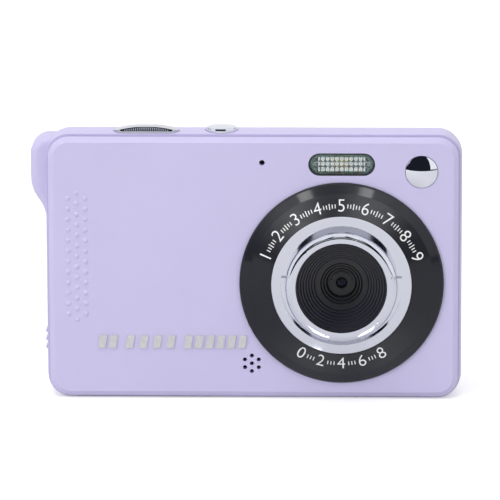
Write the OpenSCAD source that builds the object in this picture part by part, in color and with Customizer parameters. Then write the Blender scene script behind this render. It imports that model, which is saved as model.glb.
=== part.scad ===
// Kids digital camera: a flat pocket camera with a fixed lens in a conical lens ring.
// Frame: +Z up, the lens looks along -Y, +X is to the right when facing the lens.
// The origin is the mouth of the tripod socket, in the middle of the flat base.

/* [Body] */
// Width over the seam between the two covers
body_w = 96; // [94:0.5:98]
// Height over the seam between the two covers
body_h = 62; // [61.5:0.5:63]
// Depth from the front face to the back face
body_d = 19; // [19:0.5:20]
// Corner radius of the front cover
corner_r = 4.8; // [4.6:0.1:5.2]
// How far the rear cover swells past the seam outline
shell_bulge = 0.9; // [0.8:0.05:1.0]
// Radius of the rear cover's crowned sides
shell_arc_r = 26; // [24:1:30]
// Radius of the rear cover's back edge
back_edge_r = 2.6; // [2.4:0.1:2.8]
// Wall thickness of the rear cover
wall = 1.6; // [1.4:0.1:1.7]

/* [Front cover] */
// Thickness of the front cover's plate
plate_t = 2; // [1.8:0.1:2.2]
// Width of the bevel round the front cover
plate_bevel_w = 1.2; // [1:0.1:1.4]
// Depth of the bevel round the front cover
plate_bevel_d = 0.9; // [0.7:0.1:1.1]
// Spacing of the grip dots along a column
dot_pitch = 2.52; // [2.4:0.02:2.6]
// Number of grip dots in each outer column
dot_rows = 12; // [8:1:13]
// Diameter of each speaker hole
speaker_hole_d = 0.98; // [0.7:0.05:1]

/* [Lens] */
// Distance of the lens axis to the right of the middle
lens_x = 20.7; // [20:0.1:21.2]
// Height of the lens axis above the base
lens_z = 28.1; // [27.6:0.1:28.6]
// Radius of the black lens ring
bezel_r = 23.95; // [23.5:0.05:24.2]
// Radius of the chrome flange
flange_r = 16.45; // [16.2:0.05:16.7]
// Radius of the black hood's mouth
hood_r = 10.7; // [10.4:0.1:10.8]
// Height of the chrome tube's front above the front face
tube_h = 6.2; // [6:0.1:6.6]

/* [Moving parts] */
// Length of the battery door
door_len = 32.4; // [32:0.1:33]
// Width of the battery door
door_w = 8.6; // [8.4:0.1:8.8]
// Radius of the hinge pins of the door and the port cover
pin_r = 0.5; // [0.45:0.01:0.5]

/* [Mounts] */
// Bore of the 1/4 inch tripod thread, at its minor diameter
tripod_bore_r = 2.56; // [2.5:0.01:2.6]
// Depth of the tripod socket
tripod_depth = 5.4; // [5:0.1:5.6]
// Bore of the strap eye through the corner of the lug
strap_bore_r = 1; // [0.8:0.05:1.05]

/* [Hidden] */
$fn = 96;

// Colours of the pieces
c_shell = [0.79, 0.76, 0.92];
c_chrome = [0.84, 0.85, 0.88];
c_black = [0.12, 0.12, 0.14];
c_board = [0.16, 0.38, 0.26];
c_steel = [0.66, 0.67, 0.69];
c_glass = [0.75, 0.82, 0.86, 0.6];

// Reach of the cutters, further out than any piece
beyond = 70;

// Main planes of the body
base_gap = 0.55;
seam_gap = 0.25;
face_y = -6.75;
inner_y = face_y + plate_t;
shell_y = inner_y + seam_gap;
back_y = face_y + body_d;
back_in_y = back_y - wall;
seam_lo_z = base_gap;
seam_hi_z = base_gap + body_h;
mid_z = base_gap + body_h / 2;
crown_z = seam_hi_z + shell_bulge;
corner_x = body_w / 2 - corner_r;
side_x = body_w / 2 + shell_bulge;

// Lip of the front cover, which locates it inside the rear cover
lip_inset = 1.25;
lip_t = 1.1;
lip_d = 1.4;

// Strap lug on the upper left corner: its outline runs down the left side in an S
lug_x = -52.35;
lug_top_z = 62.1;
lug_corner_r = 4.2;
lug_y0 = -3.2;
lug_y1 = 6.0;
lug_edge_r = 1.9;
// The S is two arcs that turn by the same angle, whose cosine and sine are given
lug_bend_r = 9;
lug_bend_z = 52.4;
lug_cos = 0.8;
lug_sin = 0.6;
lug_turn = atan2(lug_sin, lug_cos);
lug_foot_x = lug_x + 2 * lug_bend_r * (1 - lug_cos);
lug_foot_z = lug_bend_z - 2 * lug_bend_r * lug_sin;
strap_eye_y = 1.2;
strap_eye_z = 57.2;
strap_eye_turn = 55;

// Battery door, its hinge and the port cover
door_x0 = -42.2;
door_y0 = -4.4;
door_t = 1.5;
door_gap = 0.15;
door_hinge_y = door_y0 + door_w - 1.1;
door_hinge_z = 1.15;
hinge_barrel_r = 1.05;
port_y = 0.5;
port_w = 7.2;
port_z0 = 8.9;
port_hinge_z = 30.2;
port_hinge_x = -47.55;
port_back_x = -47.2;
port_top_gap = 1.75;
rib_pitch = 1.95;
rib_z = 13.45;
rib_rise = 0.3;
rib_r = 0.5;

// Screws that hold the covers: [side, height] for the sides, x for the base
side_screws = [[-1, 37], [1, 46]];
side_screw_y = 1.6;
side_seat_x = side_x - 1.05;
side_lug_x0 = 41.5;
side_lug_x1 = body_w / 2 - 1.25;
base_screws = [12, 42];
base_seat_z = 0.9;
screw_head_r = 1.5;
screw_head_h = 0.8;
screw_r = 0.8;

// Tripod socket
tripod_nut_r = 3.6;
tripod_boss_r = 4.9;

// Lens: heights are measured forward from the front face
spigot_r = 15.6;
barrel_r = 14.85;
flange_h = 3.2;
flange_seat_h = 2.2;
moat_r = 14.25;
moat_h = 1.4;
hood_seat_r = 11.5;
hood_hole_r = 3.3;
hood_foot_h = -0.1;
land_r0 = 5.3;
land_r1 = 6.2;
land_h = 1.3;
lens_thread_r = 3.25;
pupil_r = 1.07;

// Inner pieces
battery_x0 = -39.3;
battery_size = [29, 5.8, 44.2];
battery_y0 = -3.9;
battery_z0 = 2.75;
board_t = 1.2;
main_board_y = 0.2;
main_x0 = -6;
main_x1 = 40.8;
main_z0 = 7.5;
main_z1 = 56.5;
key_board_y = 6.8;
key_top_y = back_y + 0.6;
key_flange_y = 9.6;
port_board_y = 2.1;
usb_x0 = -46.9;
usb_y = 0.5;
usb_z = 14;
usb_size = [6.8, 3.2, 8.94];
card_x0 = -46.3;
card_z = 25;
card_y0 = 0.7;
card_size = [7, 1.4, 11.4];
top_board_z = 57.5;
flash_board_y = inner_y + 0.8;
key_boss = [for (x = [-42.6, -19.9]) for (z = [22.5, 38.5]) [x, z]];
frame_posts = [for (x = [0, 36]) for (z = [12, 52]) [x, z]];

// Places of the front pieces
flash_z = 56.3;
flash_w = 15.6;
flash_h = 5.35;
flash_cell = 1.1;
flash_cols = 12;
flash_rows = 3;
flash_groove = 0.54 * flash_cell;
mirror_pos = [39.35, 54.6];
mirror_r = 3.74;
mirror_dome_r = 8;
mirror_gap = 0.14;
mic_pos = [2.1, 56.7];
mic_hole_r = 0.66;
speaker_pos = [-0.4, 8.6];
speaker_ring_r = 1.87;
speaker_z = 11.2;
dots_x = -41.4;
dots_z = 34.25;
dots_dx = 2.05;
dot_ball_r = 0.78;
dot_cap_h = 0.3;
trim_z0 = 12.3;
trim_z1 = 15.35;
trim_t = 0.35;
trim_bar_w = 1.7;
trim_slant = 0.5;
// Each group of bars: left end, number of bars, pitch
trim_groups = [[-36.6, 2, 2.5], [-30.1, 4, 3.2], [-16.4, 6, 2.54]];

// Places of the top buttons
button_y = -0.2;
shutter_x = -25.05;
shutter_w = 15.3;
shutter_d = 4.5;
shutter_y = button_y - 1.4;
shutter_top_z = crown_z + 1.15;
power_x = -7.5;
power_r = 3.75;
button_clear = 0.12;
button_flange_z = 60.5;
button_flange_t = 0.7;

// Places of the back pieces
screen_x = 13;
screen_z = 31.7;
screen_w = 58.4;
screen_h = 46.6;
window_sink = 0.9;
frame_x0 = -17.4;
frame_x1 = 43.4;
frame_z0 = 7.2;
frame_z1 = 56.2;
frame_y0 = 7.4;
pad_x = -31.2;
pad_z = 30.5;
pad_r = 9.6;
ok_r = 4;
round_key_r = 2.7;
key_clear = 0.15;
key_column = 7;
upper_keys_z = 44.6;
lower_keys_z = 15.6;
round_keys = [for (x = [-key_column, key_column]) for (z = [upper_keys_z, lower_keys_z]) [pad_x + x, z]];
pad_mid_r = 6.9;
led_z = 46.4;
rocker_x = -31.2;
rocker_z = 53.2;
rocker_w = 15;
rocker_h = 5.6;
rocker_axis_y = 9.75;
rocker_pin_r = 0.6;
rocker_press_x = 5.5;

// ---------------------------------------------------------------- helpers

// Puts a piece on the lens axis: local z is the height in front of the front face
module on_lens_axis() {
    translate([lens_x, face_y, lens_z])
        rotate([90, 0, 0])
            children();
}

// A round bar along y from y0 to y1, centred at x and z
module y_bar(x, z, r, y0, y1) {
    translate([x, y0, z])
        rotate([-90, 0, 0])
            cylinder(r = r, h = y1 - y0);
}

// A round bar along x
module x_bar(y, z, r, x0, x1) {
    translate([x0, y, z])
        rotate([0, 90, 0])
            cylinder(r = r, h = x1 - x0);
}

// A round bar along z
module z_bar(x, y, r, z0, z1) {
    translate([x, y, z0])
        cylinder(r = r, h = z1 - z0);
}

// A block between two corners
module block(low, high) {
    translate(low)
        cube(high - low);
}

// A flat pill outline, centred
module pill(w, h) {
    square([w - h, h], center = true);
    for (s = [-1, 1])
        translate([s * (w - h) / 2, 0])
            circle(d = h);
}

// A rectangle with round corners, centred
module round_rect(w, h, r) {
    square([w, h - 2 * r], center = true);
    square([w - 2 * r, h], center = true);
    for (sx = [-1, 1])
        for (sy = [-1, 1])
            translate([sx * (w / 2 - r), sy * (h / 2 - r)])
                circle(r);
}

// Stands a flat outline on the x-z plane and gives it the depth from y0 to y1
module stand(x, z, y0, y1) {
    translate([x, y1, z])
        rotate([90, 0, 0])
            linear_extrude(y1 - y0)
                children();
}

module y_pill(x, z, w, h, y0, y1) {
    stand(x, z, y0, y1)
        pill(w, h);
}

module y_slab(x, z, w, h, r, y0, y1) {
    stand(x, z, y0, y1)
        round_rect(w, h, r);
}

// A flat outline lying level, from z0 to z1
module level(x, y, z0, z1) {
    translate([x, y, z0])
        linear_extrude(z1 - z0)
            children();
}

// A rounded box whose rim follows the 2-D profile given as child.
// The child's x is the distance out from the corner axis and its y is the depth.
module swept_box(half_x, z0, z1, y0, y1) {
    for (c = [[1, 1, -90], [1, 0, 0], [-1, 0, 90], [-1, 1, 180]])
        translate([c[0] * half_x, 0, c[1] > 0 ? z1 : z0])
            rotate([-90, 0, 0])
                rotate([0, 0, c[2]])
                    rotate_extrude(angle = 90)
                        children();
    translate([half_x, 0, z0])
        linear_extrude(z1 - z0)
            children();
    mirror([1, 0, 0])
        translate([half_x, 0, z0])
            linear_extrude(z1 - z0)
                children();
    translate([half_x, 0, z1])
        rotate([0, -90, 0])
            linear_extrude(2 * half_x)
                children();
    translate([-half_x, 0, z0])
        rotate([0, 90, 0])
            linear_extrude(2 * half_x)
                children();
    block([-half_x, y0, z0], [half_x, y1, z1]);
}

// A pan-head screw with a cross recess: the head's top is at z = 0, the shank points down
module screw(head_r, head_h, shank_r, length) {
    difference() {
        union() {
            translate([0, 0, -head_h])
                cylinder(r = head_r, h = head_h);
            translate([0, 0, -length])
                cylinder(r = shank_r, h = length - head_h / 2);
        }
        for (a = [0, 90])
            rotate([0, 0, a])
                cube([head_r * 1.25, head_r * 0.28, head_h], center = true);
    }
}

// ---------------------------------------------------------------- rear cover

// Rim profile of the rear cover, drawn in by inset, from depth y0
module shell_profile(inset, y0) {
    arc_x = corner_r + shell_bulge - shell_arc_r;
    round_y = back_y - back_edge_r;
    round_x = arc_x + sqrt(pow(shell_arc_r - back_edge_r, 2) - round_y * round_y);
    touch_y = round_y * (shell_arc_r - inset) / (shell_arc_r - back_edge_r);
    intersection() {
        translate([arc_x, 0])
            circle(shell_arc_r - inset, $fn = 360);
        translate([0, y0])
            square([corner_r + shell_bulge, touch_y - y0]);
    }
    intersection() {
        translate([round_x, round_y])
            circle(back_edge_r - inset);
        translate([round_x / 2, touch_y])
            square([corner_r, back_y - inset - touch_y]);
    }
    translate([0, y0])
        square([round_x, back_y - inset - y0]);
}

// The rear cover's outer form, or its cavity when drawn in by the wall
module shell_solid(inset, y0) {
    swept_box(corner_x, seam_lo_z + corner_r, seam_hi_z - corner_r, y0, back_y - inset)
        shell_profile(inset, y0);
}

// Edge profile of the strap lug for an outline radius r
module lug_rim(r) {
    translate([0, lug_y0])
        square([r - lug_edge_r, lug_y1 - lug_y0]);
    translate([0, lug_y0 + lug_edge_r])
        square([r, lug_y1 - lug_y0 - 2 * lug_edge_r]);
    for (y = [lug_y0 + lug_edge_r, lug_y1 - lug_edge_r])
        translate([r - lug_edge_r, y])
            circle(lug_edge_r);
}

// Profile of the cutter that hollows the lower half of the S and rounds its edges
module lug_hollow_rim() {
    difference() {
        translate([0, lug_y0 - 1])
            square([lug_bend_r + lug_edge_r, lug_y1 - lug_y0 + 2]);
        translate([lug_bend_r, lug_y0 + lug_edge_r])
            square([lug_edge_r + 1, lug_y1 - lug_y0 - 2 * lug_edge_r]);
        for (y = [lug_y0 + lug_edge_r, lug_y1 - lug_edge_r])
            translate([lug_bend_r + lug_edge_r, y])
                circle(lug_edge_r);
    }
}

// Strap lug: round corner, straight side, then an S-curve into the body's side
module strap_lug() {
    in_x = -40;
    corner_cx = lug_x + lug_corner_r;
    corner_cz = lug_top_z - lug_corner_r;
    bend_cx = lug_x + lug_bend_r;
    mid_x = (lug_x + lug_foot_x) / 2;
    mid_bend_z = (lug_bend_z + lug_foot_z) / 2;
    translate([corner_cx, 0, corner_cz])
        rotate([-90, 0, 0])
            rotate([0, 0, 180])
                rotate_extrude(angle = 90)
                    lug_rim(lug_corner_r);
    mirror([1, 0, 0])
        translate([-corner_cx, 0, lug_bend_z])
            linear_extrude(corner_cz - lug_bend_z)
                lug_rim(lug_corner_r);
    translate([in_x, 0, corner_cz])
        rotate([0, -90, 0])
            linear_extrude(in_x - corner_cx)
                lug_rim(lug_corner_r);
    block([corner_cx, lug_y0, lug_bend_z], [in_x, lug_y1, corner_cz]);
    translate([bend_cx, 0, lug_bend_z])
        rotate([-90, 0, 0])
            rotate([0, 0, 180 - lug_turn])
                rotate_extrude(angle = lug_turn)
                    lug_rim(lug_bend_r);
    difference() {
        stand(0, 0, lug_y0, lug_y1)
            polygon([[in_x, lug_bend_z], [bend_cx, lug_bend_z], [mid_x, mid_bend_z],
                     [mid_x, lug_foot_z], [in_x, lug_foot_z]]);
        translate([lug_foot_x - lug_bend_r, 0, lug_foot_z])
            rotate([-90, 0, 0])
                rotate_extrude()
                    lug_hollow_rim();
    }
}

// Strap eye: runs slantwise from the lug's left face to its back face
module strap_eye() {
    lead = 3;
    translate([lug_x, strap_eye_y, strap_eye_z])
        rotate([0, 0, strap_eye_turn])
            rotate([0, 90, 0])
                translate([0, 0, -lead])
                    cylinder(r = strap_bore_r, h = lead + (lug_y1 + 0.9 - strap_eye_y) / sin(strap_eye_turn));
}

// Sockets and seats inside the rear cover
module rear_bosses() {
    // Tripod boss
    intersection() {
        z_bar(0, 0, tripod_boss_r, 0.8, tripod_depth + 0.6);
        block([-10, shell_y + 0.2, 0], [10, 10, 20]);
    }
    // Ears of the battery door's hinge
    for (x = [door_x0 - door_gap - 1.7, door_x0 + door_len + door_gap])
        block([x, door_hinge_y - 1.2, 0.5], [x + 1.7, door_hinge_y + 1.3, 2.5]);
    // Frame behind the port cover
    block([port_back_x - 0.3, port_y - port_w / 2 - 1.2, port_z0 - 1.4],
          [port_back_x + 1.8, port_y + port_w / 2 + 1.4, port_hinge_z + port_top_gap + 1]);
    // Key board bosses
    for (p = key_boss)
        y_bar(p[0], p[1], 1.5, key_board_y + board_t, back_in_y + 0.4);
    // Rocker pivot ears
    for (s = [-1, 1])
        block([rocker_x - 1.5, rocker_axis_y - 1.2, rocker_z + s * 4.75 - 0.8],
              [rocker_x + 1.5, back_in_y + 0.4, rocker_z + s * 4.75 + 0.8]);
}

// Everything cut out of the rear cover
module rear_cuts() {
    // Top buttons
    level(shutter_x, shutter_y, crown_z - 4, crown_z + 2)
        pill(shutter_w + 2 * button_clear, shutter_d + 2 * button_clear);
    z_bar(power_x, button_y, power_r + button_clear, crown_z - 4, crown_z + 2);
    // Screen window and its ledge
    y_slab(screen_x, screen_z, screen_w + 0.2, screen_h + 0.2, 2.1, back_y - window_sink, back_y + 1);
    y_slab(screen_x, screen_z, screen_w - 3, screen_h - 3, 1, back_in_y - 1, back_y + 1);
    // Keys
    for (p = round_keys)
        y_bar(p[0], p[1], round_key_r + key_clear, back_in_y - 0.5, back_y + 1);
    y_bar(pad_x, pad_z, pad_r + key_clear, back_in_y - 0.5, back_y + 1);
    y_pill(rocker_x, rocker_z, rocker_w + 0.6, rocker_h + 0.4, back_in_y - 0.5, back_y + 1);
    z_bar(rocker_x, rocker_axis_y, rocker_pin_r + 0.01, rocker_z - 5.3, rocker_z + 5.3);
    y_bar(pad_x, led_z, 0.95, back_in_y - 0.5, back_y + 1);
    for (p = key_boss)
        y_bar(p[0], p[1], 0.8, key_board_y, back_in_y - 0.3);
    // Battery door, its hinge and the tripod socket
    block([door_x0 - door_gap, shell_y - 1, -1],
          [door_x0 + door_len + door_gap, door_hinge_y + hinge_barrel_r + 0.3, 3]);
    x_bar(door_hinge_y, door_hinge_z, pin_r + 0.01, door_x0 - 1.3, door_x0 + door_len + 1.3);
    z_bar(0, 0, tripod_nut_r + 0.01, -1, tripod_depth);
    // Port cover recess, its hinge, and the two openings behind it
    block([-beyond, port_y - port_w / 2 - door_gap, port_z0 - door_gap],
          [port_back_x, port_y + port_w / 2 + door_gap, port_hinge_z + port_top_gap]);
    y_bar(port_hinge_x, port_hinge_z, hinge_barrel_r + 0.15,
          port_y - port_w / 2 - door_gap, port_y + port_w / 2 + door_gap);
    y_bar(port_hinge_x, port_hinge_z, pin_r + 0.01, port_y - port_w / 2 - 1.01, port_y + port_w / 2 + 1.01);
    translate([port_back_x - 1, usb_y, usb_z])
        rotate([0, 90, 0])
            linear_extrude(4)
                pill(usb_size[2] + 0.2, usb_size[1] + 0.2);
    block([port_back_x - 1, card_y0 - 0.1, card_z - card_size[2] / 2 - 0.1],
          [port_back_x + 4, card_y0 + card_size[1] + 0.1, card_z + card_size[2] / 2 + 0.1]);
    // Case screws
    for (s = side_screws)
        translate([s[0] * side_seat_x, side_screw_y, s[1]])
            rotate([0, s[0] * 90, 0]) {
                translate([0, 0, -3])
                    cylinder(r = screw_r + 0.15, h = 4);
                cylinder(r = screw_head_r + 0.15, h = 6);
            }
    for (x = base_screws) {
        z_bar(x, 0, screw_r + 0.15, -1, 4);
        z_bar(x, 0, screw_head_r + 0.15, -1, base_seat_z);
    }
    strap_eye();
}

module rear_cover() {
    color(c_shell)
    difference() {
        union() {
            difference() {
                union() {
                    shell_solid(0, shell_y);
                    strap_lug();
                }
                difference() {
                    shell_solid(wall, shell_y - 1);
                    block([-beyond, -beyond, -beyond], [beyond, beyond, wall]);
                }
                block([-beyond, -beyond, -beyond], [beyond, beyond, 0]);
            }
            rear_bosses();
        }
        rear_cuts();
    }
}

// ---------------------------------------------------------------- front cover

// Rim profile of the front cover's plate
module plate_profile() {
    polygon([[0, face_y], [corner_r - plate_bevel_w, face_y], [corner_r, face_y + plate_bevel_d],
             [corner_r, inner_y], [0, inner_y]]);
}

// Locating lip behind the plate, left out where the buttons, battery and ports pass
module plate_lip() {
    w = body_w - 2 * lip_inset;
    h = body_h - 2 * lip_inset;
    difference() {
        y_slab(0, mid_z, w, h, corner_r - lip_inset, inner_y - 0.3, inner_y + lip_d);
        y_slab(0, mid_z, w - 2 * lip_t, h - 2 * lip_t, corner_r - lip_inset - lip_t,
               inner_y - 1, inner_y + lip_d + 1);
        block([shutter_x - shutter_w / 2 - 4, inner_y, mid_z], [power_x + 2 * power_r, beyond, crown_z]);
        block([-beyond, inner_y, 0], [tripod_boss_r + 1.6, beyond, port_hinge_z + 3]);
    }
}

module grip_dots() {
    for (col = [-1, 0, 1])
        for (row = [0 : dot_rows - abs(col)])
            translate([dots_x + col * dots_dx,
                       face_y - dot_cap_h + dot_ball_r,
                       dots_z + (row - (dot_rows - abs(col)) / 2) * dot_pitch])
                sphere(dot_ball_r, $fn = 32);
}

// Lugs behind the plate that take the case screws, and shelves for the inner boards
module plate_lugs() {
    for (s = side_screws)
        block([min(s[0] * side_lug_x0, s[0] * side_lug_x1), inner_y - 0.3, s[1] - 2.2],
              [max(s[0] * side_lug_x0, s[0] * side_lug_x1), side_screw_y + 2, s[1] + 2.2]);
    for (x = base_screws)
        block([x - 2.3, inner_y - 0.3, wall + 0.3], [x + 2.3, 1.9, 6.2]);
    for (x = [-31, -14])
        block([x - 2, inner_y - 0.3, top_board_z - 1.2], [x + 2, 0, top_board_z]);
}

module front_cover() {
    color(c_shell)
    difference() {
        union() {
            swept_box(corner_x, seam_lo_z + corner_r, seam_hi_z - corner_r, face_y, inner_y)
                plate_profile();
            plate_lip();
            plate_lugs();
            grip_dots();
        }
        // Opening behind the lens ring
        y_bar(lens_x, lens_z, spigot_r + 0.1, face_y - 1, inner_y + 1);
        // Flash window
        y_pill(lens_x, flash_z, flash_w, flash_h, face_y - 1, inner_y + 1);
        // Mirror seat
        y_bar(mirror_pos[0], mirror_pos[1], mirror_r + mirror_gap, face_y - 1, face_y + 1.2);
        // Microphone hole
        y_bar(mic_pos[0], mic_pos[1], mic_hole_r, face_y - 1, inner_y + 1);
        // Speaker holes: one in the middle and six round it
        y_bar(speaker_pos[0], speaker_pos[1], speaker_hole_d / 2, face_y - 1, inner_y + 1);
        for (k = [0 : 5])
            y_bar(speaker_pos[0] + speaker_ring_r * cos(30 + 60 * k),
                  speaker_pos[1] + speaker_ring_r * sin(30 + 60 * k),
                  speaker_hole_d / 2, face_y - 1, inner_y + 1);
        // Case screw pilots
        for (s = side_screws)
            translate([s[0] * (side_lug_x0 + 1), side_screw_y, s[1]])
                rotate([0, s[0] * 90, 0])
                    cylinder(r = screw_r, h = 8);
        for (x = base_screws)
            z_bar(x, 0, screw_r, 0, 5.8);
    }
}

// Screws that hold the covers together: two from below and one on each side
module case_screws() {
    color(c_steel) {
        for (x = base_screws)
            translate([x, 0, base_seat_z - screw_head_h])
                mirror([0, 0, 1])
                    screw(screw_head_r, screw_head_h, screw_r - 0.01, 5.2);
        for (s = side_screws)
            translate([s[0] * (side_seat_x + screw_head_h), side_screw_y, s[1]])
                rotate([0, s[0] * 90, 0])
                    screw(screw_head_r, screw_head_h, screw_r - 0.01, 5.2);
    }
}

// Raised trim: three groups of slanted bars in one row
module trim_bars() {
    color(c_chrome)
    for (g = trim_groups)
        for (k = [0 : g[1] - 1])
            stand(g[0] + k * g[2], trim_z0, face_y - trim_t, face_y)
                polygon([[0, 0], [trim_bar_w, 0],
                         [trim_bar_w + trim_slant, trim_z1 - trim_z0], [trim_slant, trim_z1 - trim_z0]]);
}

// ---------------------------------------------------------------- lens

// Black conical ring on the front face, with a bevelled rim and a spigot through the cover
module lens_bezel() {
    color(c_black)
    on_lens_axis()
        rotate_extrude()
            polygon([[spigot_r, 0], [bezel_r, 0], [bezel_r, 0.55], [bezel_r - 0.35, 0.95],
                     [bezel_r - 2.3, 1.75], [flange_r + 0.1, flange_h - 0.1], [flange_r + 0.1, flange_seat_h],
                     [barrel_r + 0.1, flange_seat_h], [barrel_r + 0.1, -3], [spigot_r, -3]]);
}

// Chrome flange, moat and rounded tube in one piece
module chrome_barrel() {
    shoulder_r = 1.4;
    lip_h = 0.85;
    tube_r = hood_r + 1.05 + shoulder_r;
    color(c_chrome)
    on_lens_axis() {
        rotate_extrude() {
            polygon([[moat_r, moat_h], [barrel_r, moat_h], [barrel_r, flange_seat_h],
                     [flange_r, flange_seat_h], [flange_r, flange_h - 0.15],
                     [flange_r - 0.15, flange_h], [moat_r, flange_h]]);
            translate([hood_seat_r, -3.4])
                square([barrel_r - hood_seat_r, moat_h + 3.4]);
            translate([hood_seat_r, moat_h])
                square([tube_r - hood_seat_r, tube_h - shoulder_r - moat_h]);
            translate([hood_r, tube_h - lip_h])
                square([tube_r - shoulder_r - hood_r, lip_h]);
            intersection() {
                translate([tube_r - shoulder_r, tube_h - shoulder_r])
                    circle(shoulder_r);
                translate([tube_r - shoulder_r, tube_h - shoulder_r])
                    square(shoulder_r);
            }
        }
        // Two keys that bridge the moat at its sides
        for (s = [-1, 1])
            block([s > 0 ? tube_r - 0.2 : -moat_r - 0.2, 0.6, moat_h - 0.2],
                  [s > 0 ? moat_r + 0.2 : 0.2 - tube_r, 1.7, flange_h - 0.5]);
    }
}

// Points of a flight of steps that runs inwards and down: flat treads with leaning risers
function steps(r0, r1, h0, h1, n, tread) =
    [for (i = [0 : n - 1]) for (j = [0, 1])
        [r0 - (r0 - r1) * (i + (j == 0 ? tread : 1)) / n,
         h0 - (h0 - h1) * (i + (j == 0 ? 0.1 : 1)) / n]];

// Stepped black cone round the lens: seven wide steps, a flat land, then three fine steps
module lens_hood() {
    top_h = tube_h - 0.85;
    mouth_r = hood_r - 0.05;
    color(c_black)
    on_lens_axis()
        rotate_extrude()
            polygon(concat([[mouth_r, top_h]],
                           steps(mouth_r, land_r1, top_h, land_h, 7, 0.5),
                           steps(land_r0, hood_hole_r, land_h - 0.1, hood_foot_h, 3, 0.5),
                           [[hood_hole_r, -3], [hood_hole_r + 1.2, -3], [hood_hole_r + 1.2, -1.9],
                            [hood_seat_r - 0.05, 3.4], [hood_seat_r - 0.05, top_h]]));
}

// Plate behind the chrome barrel that carries the threaded lens
module lens_holder() {
    color(c_black)
    on_lens_axis()
        difference() {
            union() {
                translate([0, 0, -4.4])
                    cylinder(r = barrel_r - 0.4, h = 1);
                translate([-5, -5, -5.6])
                    cube([10, 10, 1.4]);
            }
            translate([0, 0, -6])
                cylinder(r = lens_thread_r + 0.02, h = 4);
            translate([-3.4, -3.4, -6])
                cube([6.8, 6.8, 1]);
        }
}

// Small threaded lens with a notched front face and a pupil
module lens_barrel() {
    face_r = 2.7;
    color(c_black)
    on_lens_axis()
        difference() {
            union() {
                translate([0, 0, -4.6])
                    cylinder(r = lens_thread_r, h = 4);
                translate([0, 0, -0.7])
                    cylinder(r = face_r, h = 0.55);
            }
            for (k = [0 : 7])
                rotate([0, 0, 22.5 + 45 * k])
                    translate([face_r, 0, -0.45])
                        cylinder(r = 0.3, h = 1);
            translate([0, 0, -5])
                cylinder(r = pupil_r, h = 6);
            translate([0, 0, -0.55])
                cylinder(r1 = pupil_r, r2 = pupil_r + 0.35, h = 0.45);
        }
}

// Convex glass element seated in the lens barrel
module lens_element() {
    ball_r = 2.2;
    color(c_glass)
    on_lens_axis()
        intersection() {
            translate([0, 0, -2.9])
                cylinder(r = pupil_r - 0.01, h = 3);
            translate([0, 0, -0.55 - ball_r])
                sphere(ball_r);
        }
}

module ir_filter() {
    color([0.45, 0.6, 0.75, 0.8])
    on_lens_axis()
        translate([-2.2, -2.2, -4.9])
            cube([4.4, 4.4, 0.3]);
}

module image_sensor() {
    color([0.2, 0.22, 0.26])
    on_lens_axis()
        difference() {
            translate([-3.2, -3.2, -5.6])
                cube([6.4, 6.4, 0.55]);
            translate([-2.2, -1.7, -5.2])
                cube([4.4, 3.4, 1]);
        }
}

module sensor_board() {
    color(c_board)
    on_lens_axis()
        translate([-7, -6, -6.4])
            cube([14, 12, 0.8]);
}

// ---------------------------------------------------------------- front details

// Clear flash window: a cup with a grid of small prisms moulded behind its face
module flash_window() {
    skin = 0.4;
    face_back_y = face_y + 0.95;
    prism_y = face_back_y + flash_cell / 2;
    color(c_glass) {
        y_pill(lens_x, flash_z, flash_w - 0.1, flash_h - 0.1, face_y + 0.1, face_back_y);
        difference() {
            union() {
                y_pill(lens_x, flash_z, flash_w - 0.1, flash_h - 0.1, face_back_y - 0.1, inner_y + 0.1);
                y_pill(lens_x, flash_z, flash_w + 1.9, flash_h + 1.85, inner_y, flash_board_y);
            }
            y_pill(lens_x, flash_z, flash_w - 0.1 - 2 * skin, flash_h - 0.1 - 2 * skin,
                   face_back_y - 1, flash_board_y + 1);
        }
        difference() {
            block([lens_x - flash_cols * flash_cell / 2, face_back_y - 0.1,
                   flash_z - flash_rows * flash_cell / 2],
                  [lens_x + flash_cols * flash_cell / 2, prism_y, flash_z + flash_rows * flash_cell / 2]);
            for (i = [1 : flash_cols - 1])
                translate([lens_x + (i - flash_cols / 2) * flash_cell, prism_y, flash_z])
                    rotate([0, 0, 45])
                        cube([flash_groove, flash_groove, flash_h], center = true);
            for (j = [1 : flash_rows - 1])
                translate([lens_x, prism_y, flash_z + (j - flash_rows / 2) * flash_cell])
                    rotate([45, 0, 0])
                        cube([flash_w, flash_groove, flash_groove], center = true);
        }
    }
}

module flash_board() {
    color(c_board)
    block([lens_x - 9, flash_board_y, flash_z - 4], [lens_x + 9, flash_board_y + 1, flash_z + 3.7]);
}

module flash_led() {
    color([0.95, 0.85, 0.35])
    block([lens_x - 1.75, flash_board_y - 0.7, flash_z - 1.4], [lens_x + 1.75, flash_board_y, flash_z + 1.4]);
}

// Two small resistors below the flash LED
module flash_components() {
    color([0.45, 0.3, 0.2])
    for (x = [-1.1, 3.7])
        block([lens_x + x - 0.5, flash_board_y - 0.4, flash_z - 2.15],
              [lens_x + x + 0.5, flash_board_y, flash_z - 1.6]);
}

// Convex mirror for framing a self-portrait
module selfie_mirror() {
    rise = mirror_dome_r - sqrt(mirror_dome_r * mirror_dome_r - mirror_r * mirror_r);
    color(c_chrome)
    intersection() {
        y_bar(mirror_pos[0], mirror_pos[1], mirror_r, face_y - 2, face_y + 1.2);
        translate([mirror_pos[0], face_y - rise - 0.05 + mirror_dome_r, mirror_pos[1]])
            sphere(mirror_dome_r);
    }
}

module microphone() {
    color(c_steel)
    y_bar(mic_pos[0], mic_pos[1], 2, inner_y, inner_y + 1.4);
}

module speaker() {
    color(c_black)
    difference() {
        y_bar(speaker_pos[0], speaker_z, 5, inner_y, inner_y + 2.8);
        y_bar(speaker_pos[0], speaker_z, 4.6, inner_y - 1, inner_y + 0.6);
    }
}

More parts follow.
